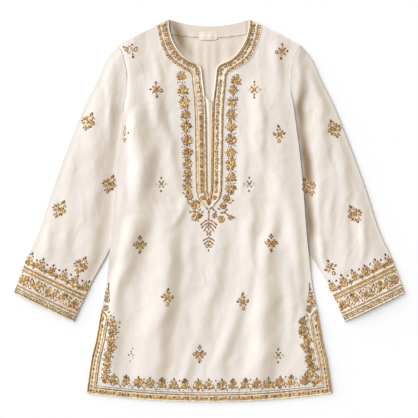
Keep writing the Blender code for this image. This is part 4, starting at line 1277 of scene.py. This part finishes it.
def blossom(kind, x, y, radius, turn=0.0, main="gold", second="copper"):
    """One worked blossom of a kind: satin petals about its middle, with beads at their tips."""
    def at(angle, reach):
        a = math.radians(turn + angle + 90.0)
        return x + reach * radius * math.cos(a), y + reach * radius * math.sin(a)

    def work(px, py, angle, reach, length, width, thread):
        """A petal as a hand leaves it: a little off its place, its size and sometimes its thread."""
        longer = radius * chance.uniform(0.82, 1.14)
        if chance.random() > 0.76:
            thread = ("brown", "copper", "olive", "pale")[chance.integers(4)]
        petal(px, py, turn + angle + chance.normal(0.0, 6.0), reach * longer, 0.93 * length * longer,
              width * radius * chance.uniform(0.92, 1.24), thread)

    def ring(angles, reach, length, width, threads):
        for n, angle in enumerate(angles):
            work(x, y, angle, reach, length, width, threads[n % len(threads)])

    def beads(angles, reach, size, thread="dark"):
        for angle in angles:
            stitch("knot", thread, *at(angle, reach), turn + angle, size * radius, size * radius, 1.0)

    stitch("knot", "straw", x, y, turn, 1.3 * radius, 1.3 * radius, 0.12)
    if kind == "lotus":
        foot = at(180.0, 0.5)
        for n, (spread, reach) in enumerate((
                (0.0, 1.2), (31.0, 1.15), (-31.0, 1.15), (61.0, 1.08), (-61.0, 1.08), (94.0, 0.95),
                (-94.0, 0.95))):
            thread = (main, "straw", "olive", main, "straw", second, "gold")[n]
            work(*foot, spread, 0.62 * reach, 0.76 * reach, 0.27, thread)
        stitch("knot", second, *foot, turn, 0.50 * radius, 0.60 * radius, 1.3)
        beads((22.0, -22.0, 0.0), 0.78, 0.16)
        beads((90.0, -90.0), 0.62, 0.16)
        stitch("curl", "brown", *at(155.0, 0.75), turn, 0.42 * radius, 0.42 * radius, 0.9)
        stitch("curl", "brown", *at(-155.0, 0.75), turn, 0.42 * radius, -0.42 * radius, 0.9)
    elif kind == "rosette":
        ring(range(0, 360, 60), 0.60, 0.58, 0.46, (main, "straw", second))
        stitch("knot", second, x, y, 0.0, 0.62 * radius, 0.62 * radius, 0.9)
        stitch("loop", "brown", x, y, turn, 0.66 * radius, 0.66 * radius, 1.2)
        stitch("knot", "straw", x, y, 0.0, 0.24 * radius, 0.24 * radius, 1.5)
        beads(range(30, 360, 60), 0.86, 0.20, "brown")
    elif kind == "lozenge":
        ring((0.0, 90.0, 180.0, 270.0), 0.58, 0.74, 0.46, (main, "gold"))
        ring((45.0, 135.0, 225.0, 315.0), 0.46, 0.54, 0.34, ("straw", second))
        stitch("knot", second, x, y, 0.0, 0.44 * radius, 0.44 * radius, 1.5)
        beads((45.0, 135.0, 225.0, 315.0), 0.80, 0.17)
        beads((0.0, 90.0, 180.0, 270.0), 1.0, 0.15, "brown")
    elif kind == "cross":
        ring((45.0, 135.0, 225.0, 315.0), 0.56, 0.72, 0.44, (second, "straw"))
        ring((17.0, 73.0, 107.0, 163.0, 197.0, 253.0, 287.0, 343.0), 0.70, 0.44, 0.20, ("gold", main))
        stitch("knot", "copper", x, y, 0.0, 0.42 * radius, 0.42 * radius, 1.4)
        beads((0.0, 90.0, 180.0, 270.0), 0.52, 0.26, "straw")
        beads((0.0, 180.0), 0.98, 0.17)
    elif kind == "spray":
        stitch("leaf", "brown", *at(0.0, 0.05), turn, 1.7 * radius, 0.20 * radius, 0.8)
        for n, (rise, spread, length) in enumerate((
                (-0.52, 66.0, 0.62), (-0.12, 52.0, 0.66), (0.26, 38.0, 0.54))):
            for lean in (-spread, spread):
                threads = (main, "straw", second) if lean > 0.0 else ("straw", main, "olive")
                work(*at(0.0, rise), lean, 0.40, length, 0.24, threads[n])
        petal(*at(0.0, 0.84), turn, 0.0, 0.42 * radius, 0.28 * radius, "brown", "dark")
        beads((28.0, -28.0), 0.86, 0.15, "brown")
        beads((152.0, -152.0), 0.92, 0.17, "dark")
    else:
        for n in range(6):
            stitch("loop", "brown" if n % 2 else "olive", *at(60.0 * n + 30.0, 0.60),
                   turn + 60.0 * n + 30.0, 0.74 * radius, 0.52 * radius, 1.1)
            stitch("knot", ("gold", second)[n % 2], *at(60.0 * n + 30.0, 0.60), 0.0, 0.3 * radius,
                   0.26 * radius, 0.9)
        stitch("knot", second, x, y, 0.0, 0.5 * radius, 0.5 * radius, 1.4)
        beads((0.0, 120.0, 240.0), 0.95, 0.17)
    # scrolls and seed beads that fill the gaps between the petals
    for n, angle in enumerate(chance.uniform(0.0, 72.0) + 72.0 * np.arange(5)):
        shape, thread, size = (("curl", "brown", 0.42), ("knot", "dark", 0.22), ("leaf", "brown", 0.40),
                               ("knot", "pale", 0.26), ("curl", "brown", 0.36))[n]
        stitch(shape, thread, *at(angle, chance.uniform(0.42, 0.86)),
               turn + angle + chance.normal(0.0, 40.0), size * radius,
               size * radius * (0.45 if shape == "leaf" else 0.9), 1.3)


for side, blossoms in ((-1.0, LEFT_BLOSSOMS), (1.0, RIGHT_BLOSSOMS)):
    for n, (x, y, kind, radius, turn) in enumerate(blossoms):
        main = ("gold", "copper", "gold", "olive")[n % 4] if n else "olive"
        second = ("copper", "gold", "copper")[(n + (side > 0.0)) % 3]
        blossom(kind, x, y, 1.06 * radius, turn + chance.normal(0.0, 5.0), main, second)
    for (x0, y0, *_), (x1, y1, *_) in zip(blossoms[:11], blossoms[1:11]):
        x, y = 0.5 * (x0 + x1), 0.5 * (y0 + y1)
        stitch("bar", "brown", x, y, 8.0 * side, 6.0, 1.9, 0.8)
        for out, thread in ((5.6, "brown"), (-5.6, "dark"), (10.0, "brown")):
            stitch("leaf", thread, x + side * out, y + chance.normal(0.0, 1.0), -7.0 * side * out, 4.4, 2.6,
                   0.9)
# Short stems and leaves that join the lowest blossoms: x, y, turn, length
for x, y, turn, length in ((21.5, 3.5, 60.0, 8.0), (35.0, -4.0, 35.0, 9.0), (41.5, -10.0, 60.0, 8.0),
                           (-20.5, 1.0, -45.0, 7.0), (-14.5, -3.5, -50.0, 6.0), (28.5, -5.0, 80.0, 9.0),
                           (9.5, 2.5, 30.0, 6.5), (55.0, -15.0, 90.0, 5.0), (-41.0, -3.0, 60.0, 6.0),
                           (-45.0, 17.0, 40.0, 7.0), (46.5, 17.0, 110.0, 7.0), (14.5, -2.5, 20.0, 6.5),
                           (38.5, 1.5, -50.0, 6.0), (52.0, 22.0, 60.0, 6.0), (-56.0, 38.0, 60.0, 6.0)):
    petal(x, y, turn, 0.0, length, 2.2, "copper")
# The palmette and its drop: a stem, ribs with buds at their tips, and two loops at the foot
STEM = (-0.7, -1.0)
for side in (1.0, -1.0):
    for x, y, turn, length, thread in (
            (6.4, -22.6, 66, 9, "brown"), (12.6, -26.8, 50, 7, "copper"), (5.6, -29.4, 52, 9, "brown"),
            (11.2, -33.4, 40, 6, "gold"), (3.8, -35.4, 38, 9, "brown"), (7.6, -39.6, 26, 5, "copper"),
            (3.2, -47.2, -36, 7, "brown"), (2.8, -52.2, 38, 6.5, "brown"), (5.2, -62, 58, 8, "brown"),
            (3.8, -68.6, 40, 8, "brown")):
        stitch("leaf", thread, STEM[0] + side * x, y, side * turn, length + 1.6, 4.0, 1.0)
    for x, y, size in (
            (16.2, -30.4, 5), (14.6, -36.8, 4.8), (9.6, -43.4, 4.6), (10.8, -65.6, 4.4), (8.6, -72.4, 4.6)):
        stitch("leaf", "brown", STEM[0] + side * x, y, side * 24.0, 1.4 * size, 0.9 * size, 1.2)
    stitch("loop", "brown", STEM[0] + side * 3.8, -77.8, side * 20.0, 7.6, side * 6.6, 1.2)
for y, length, width, thread in (
        (-3.5, 9, 4.6, "brown"), (-11, 9, 3.8, "copper"), (-19, 9, 4.6, "brown"), (-29, 13, 4.2, "brown"),
        (-40, 10, 3.4, "brown"), (-49.5, 3, 3, "straw"), (-59, 9, 3, "brown"), (-67, 9, 3.8, "gold"),
        (-74.5, 8, 3, "brown")):
    stitch("leaf", thread, STEM[0], y, 0.0, length, width, 1.0)
stitch("bar", "brown", -5.0, 4.8, 45.0, 11.0, 3.2, 1.3)
stitch("bar", "brown", 4.6, 6.6, -48.0, 15.0, 3.2, 1.3)
stitch("leaf", "dark", -1.2, -87.5, 0.0, 6.0, 3.2, 1.0)
set_stitches("placket_blossoms")

# Sprigs over the body and sleeves
# Small sprigs set in half-drop rows. Each kind has its own leaves, loops and beads, and half
# the kinds have a heart of four petals.
# Places: x, y, turn, kind, 1 or -1 for its mirror image.
SPRIGS = (
    (-171.6, 353, 0, "curls", 1), (-116.6, 265.1, 0, "bloom", 1), (-184.8, 168.3, 0, "pale", 1),
    (-105, 58, 0, "dots", 1), (-151.8, -75, 0, "open", 1), (-91.5, -190.3, 0, "tall", 1),
    (-172.7, -315.7, 0, "faint", 1), (-20.9, -315.7, 0, "open", 1), (160.5, 349.5, 0, "bloom", -1),
    (99, 265.1, 0, "light", 1), (154, 167.2, 0, "tall", -1), (88, 58.3, 0, "dots", 1),
    (136.4, -71.5, 0, "open", -1), (73.7, -200.2, 6, "tall", 1), (151.8, -317.9, 0, "dots", 1),
    (-264.5, 195, 0, "leafy", 1), (-217.8, 58.3, 2, "leafy", 1), (-327.8, 3.3, -6, "leafy", 1),
    (-280.5, -119.9, -6, "leafy", 1), (275, 179.3, 0, "leafy", -1), (218.5, 52, 4, "leafy", -1),
    (319, -7.7, 4, "leafy", -1), (266, -124, 0, "small", 1),
)
# Heart size, 0 for none, then shape, thread, x, y from the sprig's place, turn, length, width
SPRIG_KINDS = {
    "bloom": (7, (
        ("leaf", "olive", 0, 15, 0, 7.5, 5.6), ("leaf", "straw", 0, 9.6, 0, 4.6, 3.6),
        ("leaf", "brown", -11.5, 0.5, 90, 5.5, 4.2), ("leaf", "copper", -6.2, 6, 45, 5.6, 3.2),
        ("leaf", "copper", 6.6, 6, -45, 5.6, 3.2), ("loop", "brown", 11.8, -2, 0, 8.6, 8.2),
        ("knot", "pale", 11.8, -2, 0, 4, 4), ("leaf", "copper", -5.8, -6.2, 130, 6, 3.4),
        ("knot", "dark", 1, -9.6, 0, 3.2, 3.2), ("leaf", "dark", 2.4, -15.4, -40, 7.5, 4.8))),
    "curls": (0, (
        ("loop", "copper", -10, 1, 20, 11, 9), ("curl", "copper", -3, 4, 0, 10, 9),
        ("curl", "brown", -4, -5, 160, 9, 8), ("loop", "copper", 11, 1, -20, 12, 8),
        ("curl", "copper", 5, -2, 80, 8, 7), ("knot", "dark", 2.8, 10.8, 0, 4.8, 4.6),
        ("knot", "brown", 4, -10, 0, 4.2, 4), ("leaf", "dark", 5, -16.2, -20, 7, 5),
        ("knot", "straw", -10, 1, 0, 4.4, 4), ("leaf", "brown", -16, 6, 60, 5, 3))),
    "pale": (0, (
        ("leaf", "straw", 0, 15, -10, 8, 4), ("leaf", "olive", 0.5, 11, 20, 5, 2.4),
        ("loop", "gold", -0.5, 3, 0, 9, 7), ("leaf", "straw", -1, -2, 0, 7, 4),
        ("leaf", "brown", 8, 1.6, 0, 6, 3), ("leaf", "straw", -2.6, -11, 20, 7, 3.2),
        ("leaf", "gold", 1.8, -12, -20, 7, 3), ("leaf", "straw", -1, -17, 0, 5, 3.4))),
    "dots": (0, (
        ("knot", "dark", 0.4, 0.4, 0, 5, 7), ("knot", "pale", -5.8, 0, 0, 3, 3),
        ("knot", "pale", 6, 0, 0, 3, 3), ("leaf", "olive", -3.6, 5.2, 50, 6, 2.6),
        ("leaf", "olive", 4.2, 5.2, -50, 6, 2.6), ("leaf", "straw", -3.6, -5.4, 130, 6, 2.6),
        ("leaf", "olive", 4.2, -5.4, -130, 6, 2.6), ("leaf", "brown", 0.2, 13.2, 0, 5.4, 3.8),
        ("leaf", "dark", -0.4, -15.2, 0, 5.6, 3.6), ("loop", "straw", -11, 0, 0, 5.4, 4.4),
        ("loop", "straw", 10.4, 0, 0, 5.4, 4.4))),
    "open": (5.6, (
        ("leaf", "brown", 0.6, 18.2, 0, 5.6, 4), ("leaf", "copper", -2.4, 14.4, 40, 5.6, 3.2),
        ("leaf", "copper", 3.6, 14.4, -40, 5.6, 3.2), ("knot", "dark", 0.6, 10.6, 0, 3.6, 3.6),
        ("leaf", "gold", -5.6, 6.2, 45, 7.6, 4.6), ("leaf", "brown", 5.8, 6.2, -45, 7.6, 4.6),
        ("loop", "brown", -10, 1, 60, 8.6, 7.6), ("knot", "straw", -10, 1, 0, 4.4, 4.4),
        ("loop", "copper", 10.2, 0.6, -60, 8.6, 7.6), ("knot", "straw", 10.2, 0.6, 0, 4, 4),
        ("knot", "dark", 14.2, 2.4, 0, 2.8, 2.8), ("knot", "dark", -14.2, -0.6, 0, 2.8, 2.8),
        ("leaf", "olive", -5.6, -6, 130, 8, 4.4), ("leaf", "copper", 5.6, -6, -130, 8, 4.4),
        ("leaf", "straw", -0.2, -10.6, 0, 8, 5.4), ("leaf", "brown", -0.4, -16.8, 0, 6.4, 5),
        ("knot", "dark", 3.8, -13.6, 0, 2.6, 2.6))),
    "tall": (6.2, (
        ("leaf", "brown", 2, 17.4, -20, 8, 5), ("leaf", "gold", -0.8, 11.4, 10, 7.6, 4.6),
        ("leaf", "dark", 4.4, 9.6, -30, 5.6, 3.4), ("leaf", "brown", -10.4, 1.6, 80, 7, 5),
        ("leaf", "copper", -6, 6.4, 45, 6.4, 3.8), ("leaf", "olive", 10.4, -0.6, -80, 8, 6),
        ("knot", "dark", 12.6, 3.4, 0, 2.8, 2.8), ("leaf", "gold", 5.4, -7, -140, 6.6, 4),
        ("leaf", "copper", -5.4, -6.6, 140, 6.6, 4), ("loop", "olive", 0.6, -14.4, 0, 9.6, 7.8),
        ("knot", "straw", 0.6, -14.4, 0, 4.2, 3.6))),
    "light": (5, (
        ("leaf", "brown", 0.5, 17.2, 0, 5, 3.8), ("leaf", "straw", 0.5, 10.8, 0, 6, 4),
        ("leaf", "olive", -5.5, 5.4, 50, 6.2, 3.6), ("leaf", "straw", 6, 5.4, -50, 6.2, 3.6),
        ("loop", "straw", -10, 0, 0, 7.6, 6.2), ("loop", "straw", 10.5, 0, 0, 7.6, 6.2),
        ("knot", "dark", 14, 1, 0, 2.6, 2.6), ("leaf", "olive", -5, -5.8, 130, 6.2, 3.4),
        ("leaf", "straw", 5, -5.8, -130, 6.2, 3.4), ("leaf", "olive", 0, -11, 0, 6, 3.6),
        ("leaf", "brown", 0, -17.4, 0, 5.4, 4))),
    "leafy": (6.2, (
        ("leaf", "brown", 7.6, 16.4, -25, 9, 5.6), ("leaf", "straw", 2, 12.4, -20, 10, 5.4),
        ("leaf", "gold", 9.4, 9.4, -50, 7.4, 4.6), ("knot", "dark", 13, 6, 0, 3.2, 3.2),
        ("loop", "olive", 9.8, -3.6, 20, 10.4, 9.4), ("leaf", "straw", 9.8, -3.6, 20, 5.6, 4),
        ("leaf", "copper", -9.6, 6.2, 60, 9.6, 5.4), ("leaf", "gold", -10.4, -2.4, 105, 9.4, 5),
        ("leaf", "olive", -4, 9, 20, 8.4, 4.6), ("leaf", "straw", -7.8, -9, 140, 9, 5),
        ("leaf", "olive", -5.8, -16.2, 165, 9.4, 6), ("leaf", "gold", -0.4, -12, 190, 9, 5.2),
        ("leaf", "brown", 4.8, -11, 215, 8, 4.6), ("leaf", "copper", 7, 3.4, -70, 6.4, 4),
        ("knot", "dark", -11.8, -13.6, 0, 3, 3), ("leaf", "brown", -14.2, 2.2, 85, 5, 3.2))),
    "small": (0, (
        ("leaf", "dark", -4.6, 13.4, 15, 7, 5), ("leaf", "straw", -3.4, 7.2, 10, 7.4, 4.6),
        ("knot", "olive", 0, 0, 0, 8, 7.4), ("leaf", "olive", -6, 0.6, 70, 8.6, 5),
        ("leaf", "brown", 3.6, 5.6, -30, 7.6, 4.4), ("leaf", "brown", -9.6, -6.4, 80, 8.4, 5),
        ("leaf", "copper", 11, 3.4, -60, 8, 5), ("leaf", "olive", 6, -4.4, -110, 8, 4.6),
        ("leaf", "straw", -2.6, -8, 160, 8, 4.6), ("loop", "brown", 7.6, -13.4, 20, 9.6, 8),
        ("knot", "pale", 7.6, -13.4, 0, 4, 4))),
    "faint": (0, (
        ("knot", "brown", 5, 12.6, 0, 3.2, 2.8), ("knot", "dark", 2, 2, 0, 3.4, 2.8),
        ("leaf", "brown", -3.4, -1.4, 70, 4.6, 2.4), ("knot", "dark", 6, -2, 0, 2.6, 2.6),
        ("knot", "brown", -0.6, -15.2, 0, 3.4, 2.8), ("leaf", "olive", 1.4, 6.6, -20, 4, 1.8),
        ("knot", "brown", 4.6, -7, 0, 1.8, 1.8))),
}
# Outline of a sprig's petal by its thread; the others have brown
SPRIG_OUTLINES = {"brown": "dark", "straw": "copper", "gold": "copper"}


def sprig(x, y, turn, kind, mirror):
    """One sprig of a kind: its heart of four petals, if it has one, and the parts round it."""
    heart, parts = SPRIG_KINDS[kind]
    c, s = math.cos(math.radians(turn)), math.sin(math.radians(turn))
    if heart:
        stitch("knot", "straw", x, y, turn, 2.2 * heart, 2.2 * heart, 0.12)
        for n in range(4):
            petal(x, y, turn + 90.0 * n + 45.0, 0.55 * heart, 0.85 * heart, 0.62 * heart,
                  "copper" if (n % 2) == (kind != "leafy") else "gold")
        stitch("knot", "dark" if kind == "leafy" else "copper", x, y, turn, 3.4, 3.4, 1.5)
    for shape, thread, u, v, lean, length, width in parts:
        px, py = x + mirror * u * c - v * s, y + mirror * u * s + v * c
        if shape == "leaf":
            petal(px, py, turn + mirror * lean, 0.0, length - 1.2, width - 1.0, thread,
                  SPRIG_OUTLINES.get(thread, "brown"))
        else:
            stitch(shape, thread, px, py, turn + mirror * lean, length, mirror * width,
                   0.8 if shape == "knot" else 1.1)


for place in SPRIGS:
    sprig(*place)
set_stitches("sprigs")

# Cuffs
# From the edge up: two thick cords, a band of dashes and knots, five thin cords, a garland of
# blossoms on the ribbon, six cords with bars along their middle, and a row of blossoms on top.
CUFF_LINES = (      # height over the cuff edge, cord radius, thread
    (1.4, 1.7, "pale"), (4.6, 1.5, "olive"), (12.6, 0.7, "brown"), (14.8, 1.1, "pale"), (17.4, 0.8, "gold"),
    (19.4, 0.7, "brown"), (22, 0.9, "pale"), (51.2, 0.8, "pale"), (53.8, 1.5, "olive"), (57.1, 0.9, "pale"),
    (60.4, 1.5, "gold"), (62.6, 0.7, "brown"), (65.2, 1.1, "pale"),
)
CUFF_GARLAND_Y = 36.5
CUFF_TOP_ROW_Y = 79.0


def cuff_place(side, share, height):
    """Point on a cuff at a share of its width and a height over its edge, with its turn."""
    ends = []
    for path in (SLEEVE_OUTER, SLEEVE_INNER):
        length = sum(math.dist(a, b) for a, b in zip(path, path[1:]))
        ends.append(smooth_path(path, [1.0 - height / length, 1.0 - (height + 4.0) / length]))
    low = ends[0][0] + share * (ends[1][0] - ends[0][0])
    high = ends[0][1] + share * (ends[1][1] - ends[0][1])
    turn = math.degrees(math.atan2(high[1] - low[1], side * (high[0] - low[0]))) - 90.0
    return side * low[0], low[1], turn


cords = []
for side in (1.0, -1.0):
    for height, radius, thread in CUFF_LINES:
        shares = np.linspace(0.012, 0.988, 24)
        cords.append(([cuff_place(side, share, height)[:2] for share in shares], radius, thread))
    for n, share in enumerate(np.linspace(0.025, 0.975, 23)):
        x, y, turn = cuff_place(side, share, 8.8 + chance.normal(0.0, 0.4))
        kind = ("bar", "curl", "knot", "bar", "loop")[n % 5]
        stitch("knot", ("pale", "straw")[n % 2], x, y, turn, 5.6, 5.0, 0.2)
        stitch(kind, ("dark", "brown", "brown", "copper")[n % 4], x, y,
               turn + 62.0 + chance.normal(0.0, 16.0), 6.8 if kind != "knot" else 4.0,
               {"bar": 2.8, "knot": 4.0}.get(kind, 5.6), 1.2)
        x, y, turn = cuff_place(side, min(0.98, share + 0.018), 57.1)
        stitch("bar", ("copper", "brown", "straw")[n % 3], x, y, turn + 74.0, 5.2, 1.9, 0.9)
    for n, share in enumerate(np.linspace(0.09, 0.91, 5)):
        x, y, turn = cuff_place(side, share, CUFF_GARLAND_Y + (1.5 if n % 2 else -0.5))
        lean = (0.0, 24.0, -20.0, 34.0, 8.0)[n]
        blossom(("rosette", "lotus", "lotus", "spray", "lotus")[n], x, y, 13.0, turn + side * lean,
                ("gold", "copper", "gold", "olive", "copper")[n], ("copper", "gold")[n % 2])
        # the scroll that climbs to the next blossom, with its leaves and buds
        for lean, height, bend, length, thread in (
                (0.055, -10.5, 62, 10, "brown"), (0.085, -7.5, 40, 11, "brown"),
                (0.107, 0, 12, 12, "brown"), (0.122, 8, 46, 9, "brown"), (0.078, 2.5, -28, 9, "olive"),
                (0.138, -4.5, -40, 9, "gold"), (0.098, 11, -16, 7, "brown")):
            x, y, turn = cuff_place(side, share + lean, CUFF_GARLAND_Y + height)
            if share + lean < 0.985:
                stitch("leaf", thread, x, y, turn - side * bend, length, 2.9, 1.0)
        for lean, height, size, thread in ((0.060, 10.0, 4.2, "dark"), (0.133, -10.5, 4.0, "dark"),
                                           (-0.06, 13.0, 3.2, "brown"), (0.112, -13.4, 3.4, "copper")):
            if 0.015 < share + lean < 0.985:
                x, y, turn = cuff_place(side, share + lean, CUFF_GARLAND_Y + height)
                stitch("knot", thread, x, y, turn, size, 0.8 * size, 1.0)
        if share < 0.85:
            x, y, turn = cuff_place(side, share + 0.115, CUFF_GARLAND_Y + 6.0)
            stitch("curl", "brown", x, y, turn + 60.0, 8.6, 7.6, 1.1)
    for n, share in enumerate(np.linspace(0.06, 0.95, 6)):
        x, y, turn = cuff_place(side, share, CUFF_TOP_ROW_Y + (1.5 if n % 2 else -0.5))
        blossom(("lotus", "lotus", "rosette", "lotus", "cross", "lotus")[n], x, y, 11.5,
                turn + chance.normal(0.0, 8.0), ("copper", "gold", "olive")[n % 3],
                ("copper", "gold")[n % 2])
        for lean, height, length, width, thread in (
                (0, 95, 8, 5, "dark"), (0.09, 90, 6.6, 4.4, "dark"), (-0.03, 90.5, 6, 3, "brown"),
                (0.03, 89.5, 5.4, 3, "brown")):
            if 0.02 < share + lean < 0.98:
                x, y, turn = cuff_place(side, share + lean + chance.normal(0.0, 0.006),
                                        height + chance.normal(0.0, 1.0))
                stitch("leaf", thread, x, y, turn - 600.0 * side * lean, length, width, 1.0)
        if share < 0.9:
            for lean, height, bend, thread in ((0.075, 74.0, 40.0, "brown"), (0.09, 76.5, 0.0, "gold"),
                                               (0.105, 74.0, -40.0, "brown"), (0.09, 70.0, 0.0, "copper")):
                x, y, turn = cuff_place(side, share + lean, height)
                petal(x, y, turn + side * bend, 0.0, 6.4, 2.2, thread)
lay_cords("cuff_cords", cords)
set_stitches("cuff_stitches")

# Hem and side slits
# A bordered ribbon runs along the hem and up both slits, and blossoms stand along its inner
# side, with a sprig climbing from each slit's head.
HEM_LINES = (      # distance in from the hem edge, cord radius, thread
    (1.2, 1.4, "pale"), (4, 1.5, "gold"), (12.2, 1, "pale"), (14.6, 1, "brown"), (17.4, 1.1, "pale"),
    (19.6, 0.6, "brown"),
)
SLIT_LINES = (      # the same for the slit edges
    (1.9, 1.7, "gold"), (4.2, 0.6, "brown"), (13.4, 0.8, "pale"), (15.6, 1.2, "gold"), (17.8, 0.9, "pale"),
    (19.5, 0.6, "brown"),
)
HEM_PITCH = 26.0
HEM_ROW_HEIGHT = 36.0
HEM_ROW = (      # kind and radius, from the left corner to the right one
    ("rosette", 12.5), ("spray", 13.5), ("lozenge", 13), ("rosette", 12), ("spray", 14), ("lotus", 12.5),
    ("spray", 14), ("lozenge", 13), ("lotus", 12.5), ("rosette", 12.5), ("spray", 13), ("spray", 14),
    ("rosette", 12), ("lotus", 13), ("lozenge", 13.5), ("spray", 14), ("rosette", 12.5),
)
# Slit columns: distance in from the edge, y, kind, radius, turn
LEFT_SLIT_BLOSSOMS = (
    (29.5, -246, "lotus", 11, 0), (33, -265, "rosette", 12, 0), (33.5, -283, "lozenge", 12, 0),
    (36.5, -301, "rosette", 12.5, 0), (35, -317, "cross", 10.5, 0), (36.5, -333, "lotus", 12.5, 40),
    (37.5, -351, "spray", 12, 0), (38.5, -369, "rosette", 12.5, 0), (8.6, -196, "rosette", 7.6, 0),
    (9.6, -214, "cross", 7.4, 0),
)

RIGHT_SLIT_BLOSSOMS = (
    (36, -244, "loops", 9.5, 0), (37.5, -264.5, "rosette", 11.5, 0), (31.5, -284, "spray", 11.5, -30),
    (40.5, -299, "lotus", 10, 60), (33, -313, "spray", 11.5, -20), (38.5, -329, "loops", 10, 0),
    (33.5, -346, "spray", 12.5, -30), (43, -358, "cross", 9.5, 0), (32, -371, "lotus", 12.5, -20),
    (9.7, -196, "lotus", 8.6, 0), (16.5, -215.5, "rosette", 7.4, 0), (5.6, -206, "cross", 5.6, 0),
)


def from_side(side, y, inset):
    """The x that lies a distance in from the body's side."""
    return side * (float(body_half_width(y)) - inset)


cords = []
for inset, radius, thread in HEM_LINES:
    reach = BODY_SIDE[0][1] - inset - 1.0
    xs = np.linspace(-reach, reach, 90)
    cords.append((list(zip(xs, hem_y(xs) + inset)), radius, thread))
for side in (1.0, -1.0):
    for inset, radius, thread in SLIT_LINES:
        ys = np.linspace(SLIT_MITRE_Y - SLIT_MITRE_SLOPE * inset, HEM_SIDE_Y + inset, 50)
        cords.append((list(zip(side * (body_half_width(ys) - inset), ys)), radius, thread))
    for drop, radius, thread in ((0.0, 1.1, "gold"), (-2.4, 0.7, "brown")):
        ys = np.array((SLIT_MITRE_Y, SLIT_MITRE_Y - SLIT_MITRE_SLOPE * 17.0)) - drop
        xs = side * (body_half_width(ys) - np.array((1.5, 17.0)))
        cords.append((list(zip(xs, ys)), radius, thread))
    petal(from_side(side, -240.0, 7.0), -238.0, side * 14.0, 0.0, 13.0, 6.4, "olive", "gold")
    for n, y in enumerate(np.arange(-254.0, -396.0, -9.4)):
        x = from_side(side, y, 8.8)
        length = (8.6, 5.0, 7.4, 4.4)[n % 4]
        stitch("knot", "straw", x, y, 0.0, 8.4, 6.0, 0.2)
        stitch("leaf" if n % 2 else "bar", ("dark", "copper", "brown", "gold", "brown")[n % 5],
               x + chance.normal(0.0, 0.5), y, -side * 10.0 + chance.normal(0.0, 9.0), length, 3.6, 1.1)
        stitch("knot", "brown" if n % 2 else "gold", x, y + 4.9, 0.0, 2.2, 2.2, 1.0)
    blossoms = RIGHT_SLIT_BLOSSOMS if side > 0.0 else LEFT_SLIT_BLOSSOMS
    for n, (inset, y, kind, radius, turn) in enumerate(blossoms):
        blossom(kind, from_side(side, y, inset), y, (1.12 if side > 0.0 else 0.96) * radius,
                side * (6.0 - turn) + chance.normal(0.0, 6.0), ("copper", "gold", "olive", "gold")[n % 4],
                ("gold", "copper", "copper")[n % 3])
    # scrolls and leaves on both sides of the column of blossoms
    for n, y in enumerate(np.arange(-240.0, -376.0, -5.4)):
        x = from_side(side, y, (25.0, 43.0, 29.0, 47.0)[n % 4] + chance.normal(0.0, 1.4))
        shape, thread, length, width = (
            ("leaf", "brown", 7.4, 2.9), ("curl", "brown", 6.6, 6.0), ("leaf", "olive", 6.4, 2.9),
            ("leaf", "dark", 5.2, 3.0), ("knot", "gold", 3.8, 3.6))[n % 5]
        stitch(shape, thread, x, y, side * (40.0 if n % 2 else -35.0) + chance.normal(0.0, 18.0), length,
               width, 1.0)
    # the spike of little leaves that climbs from the slit's head
    for inset, y, length, turn, thread in (
            (3.6, -189, 6, 8, "gold"), (3.2, -180.5, 5, 10, "copper"), (10.6, -187.5, 5, 50, "gold"),
            (6.5, -183, 7, 20, "olive"), (9.5, -181, 5.6, -30, "brown"), (7.4, -175, 6.6, 16, "brown"),
            (5, -172, 4.6, 40, "gold"), (6.6, -167.5, 6.4, -8, "olive"), (5.6, -161.5, 5, 6, "brown"),
            (18, -223, 5.6, 46, "brown"), (24, -231, 6.6, 40, "gold"), (31, -234, 5.6, -30, "dark")):
        petal(from_side(side, y, inset), y, side * turn, 0.0, length, 2.0, thread, "brown")
for n, x in enumerate(np.linspace(-261.0, 261.0, 76)):
    y = float(hem_y(x)) + 7.6
    stitch("knot", ("gold", "straw", "gold", "copper")[n % 4], x, y, 0.0, 7.2, 6.6, 0.2)
for n, x in enumerate(np.linspace(-259.0, 259.0, 52)):
    x += chance.normal(0.0, 1.2)
    y = float(hem_y(x)) + 7.4 + chance.normal(0.0, 0.5)
    kind = ("bar", "knot", "curl", "bar", "leaf", "knot", "loop")[n % 7]
    stitch(kind, ("dark", "brown", "brown", "dark", "copper")[n % 5], x, y, 72.0 + chance.normal(0.0, 30.0),
           chance.uniform(6.2, 8.4) if kind != "knot" else 5.0,
           {"curl": 6.4, "loop": 6.0, "knot": 4.8}.get(kind, 3.2), 1.2)
    stitch("knot", "pale" if n % 2 else "straw", x + 5.0, y + chance.normal(0.0, 1.6), 0.0, 2.6, 2.4, 1.0)
for n, (kind, radius) in enumerate(HEM_ROW):
    x = HEM_PITCH * (n - 0.5 * (len(HEM_ROW) - 1)) + chance.normal(0.0, 1.0)
    base = float(hem_y(x))
    main, second = ("gold", "olive", "copper")[n % 3], ("copper", "gold")[n % 2]
    blossom(kind, x, base + HEM_ROW_HEIGHT, radius, chance.normal(0.0, 5.0), main, second)
    petal(x + 0.5, base + HEM_ROW_HEIGHT + 12.6, 0.0, 0.0, 4.6, 2.6, "brown", "dark")
    if n:
        middle = x - 0.5 * HEM_PITCH
        stitch("leaf", "dark", middle, base + 24.5, 20.0, 4.8, 3.4, 1.0)
        for lean in (-1.0, 1.0):
            stitch("leaf", "brown", middle + 3.4 * lean, base + 29.5, -34.0 * lean, 7.0, 2.4, 0.9)
        if n % 3 == 0:
            stitch("leaf", "dark", middle, base + 46.0, 0.0, 5.0, 3.2, 0.9)
lay_cords("hem_and_slit_cords", cords)
set_stitches("hem_and_slit_stitches")

# The unit shapes were only patterns for the stitches
for shape in list(shapes.objects):
    bpy.data.objects.remove(shape)
for spare in (shapes, ground):
    bpy.data.collections.remove(spare)
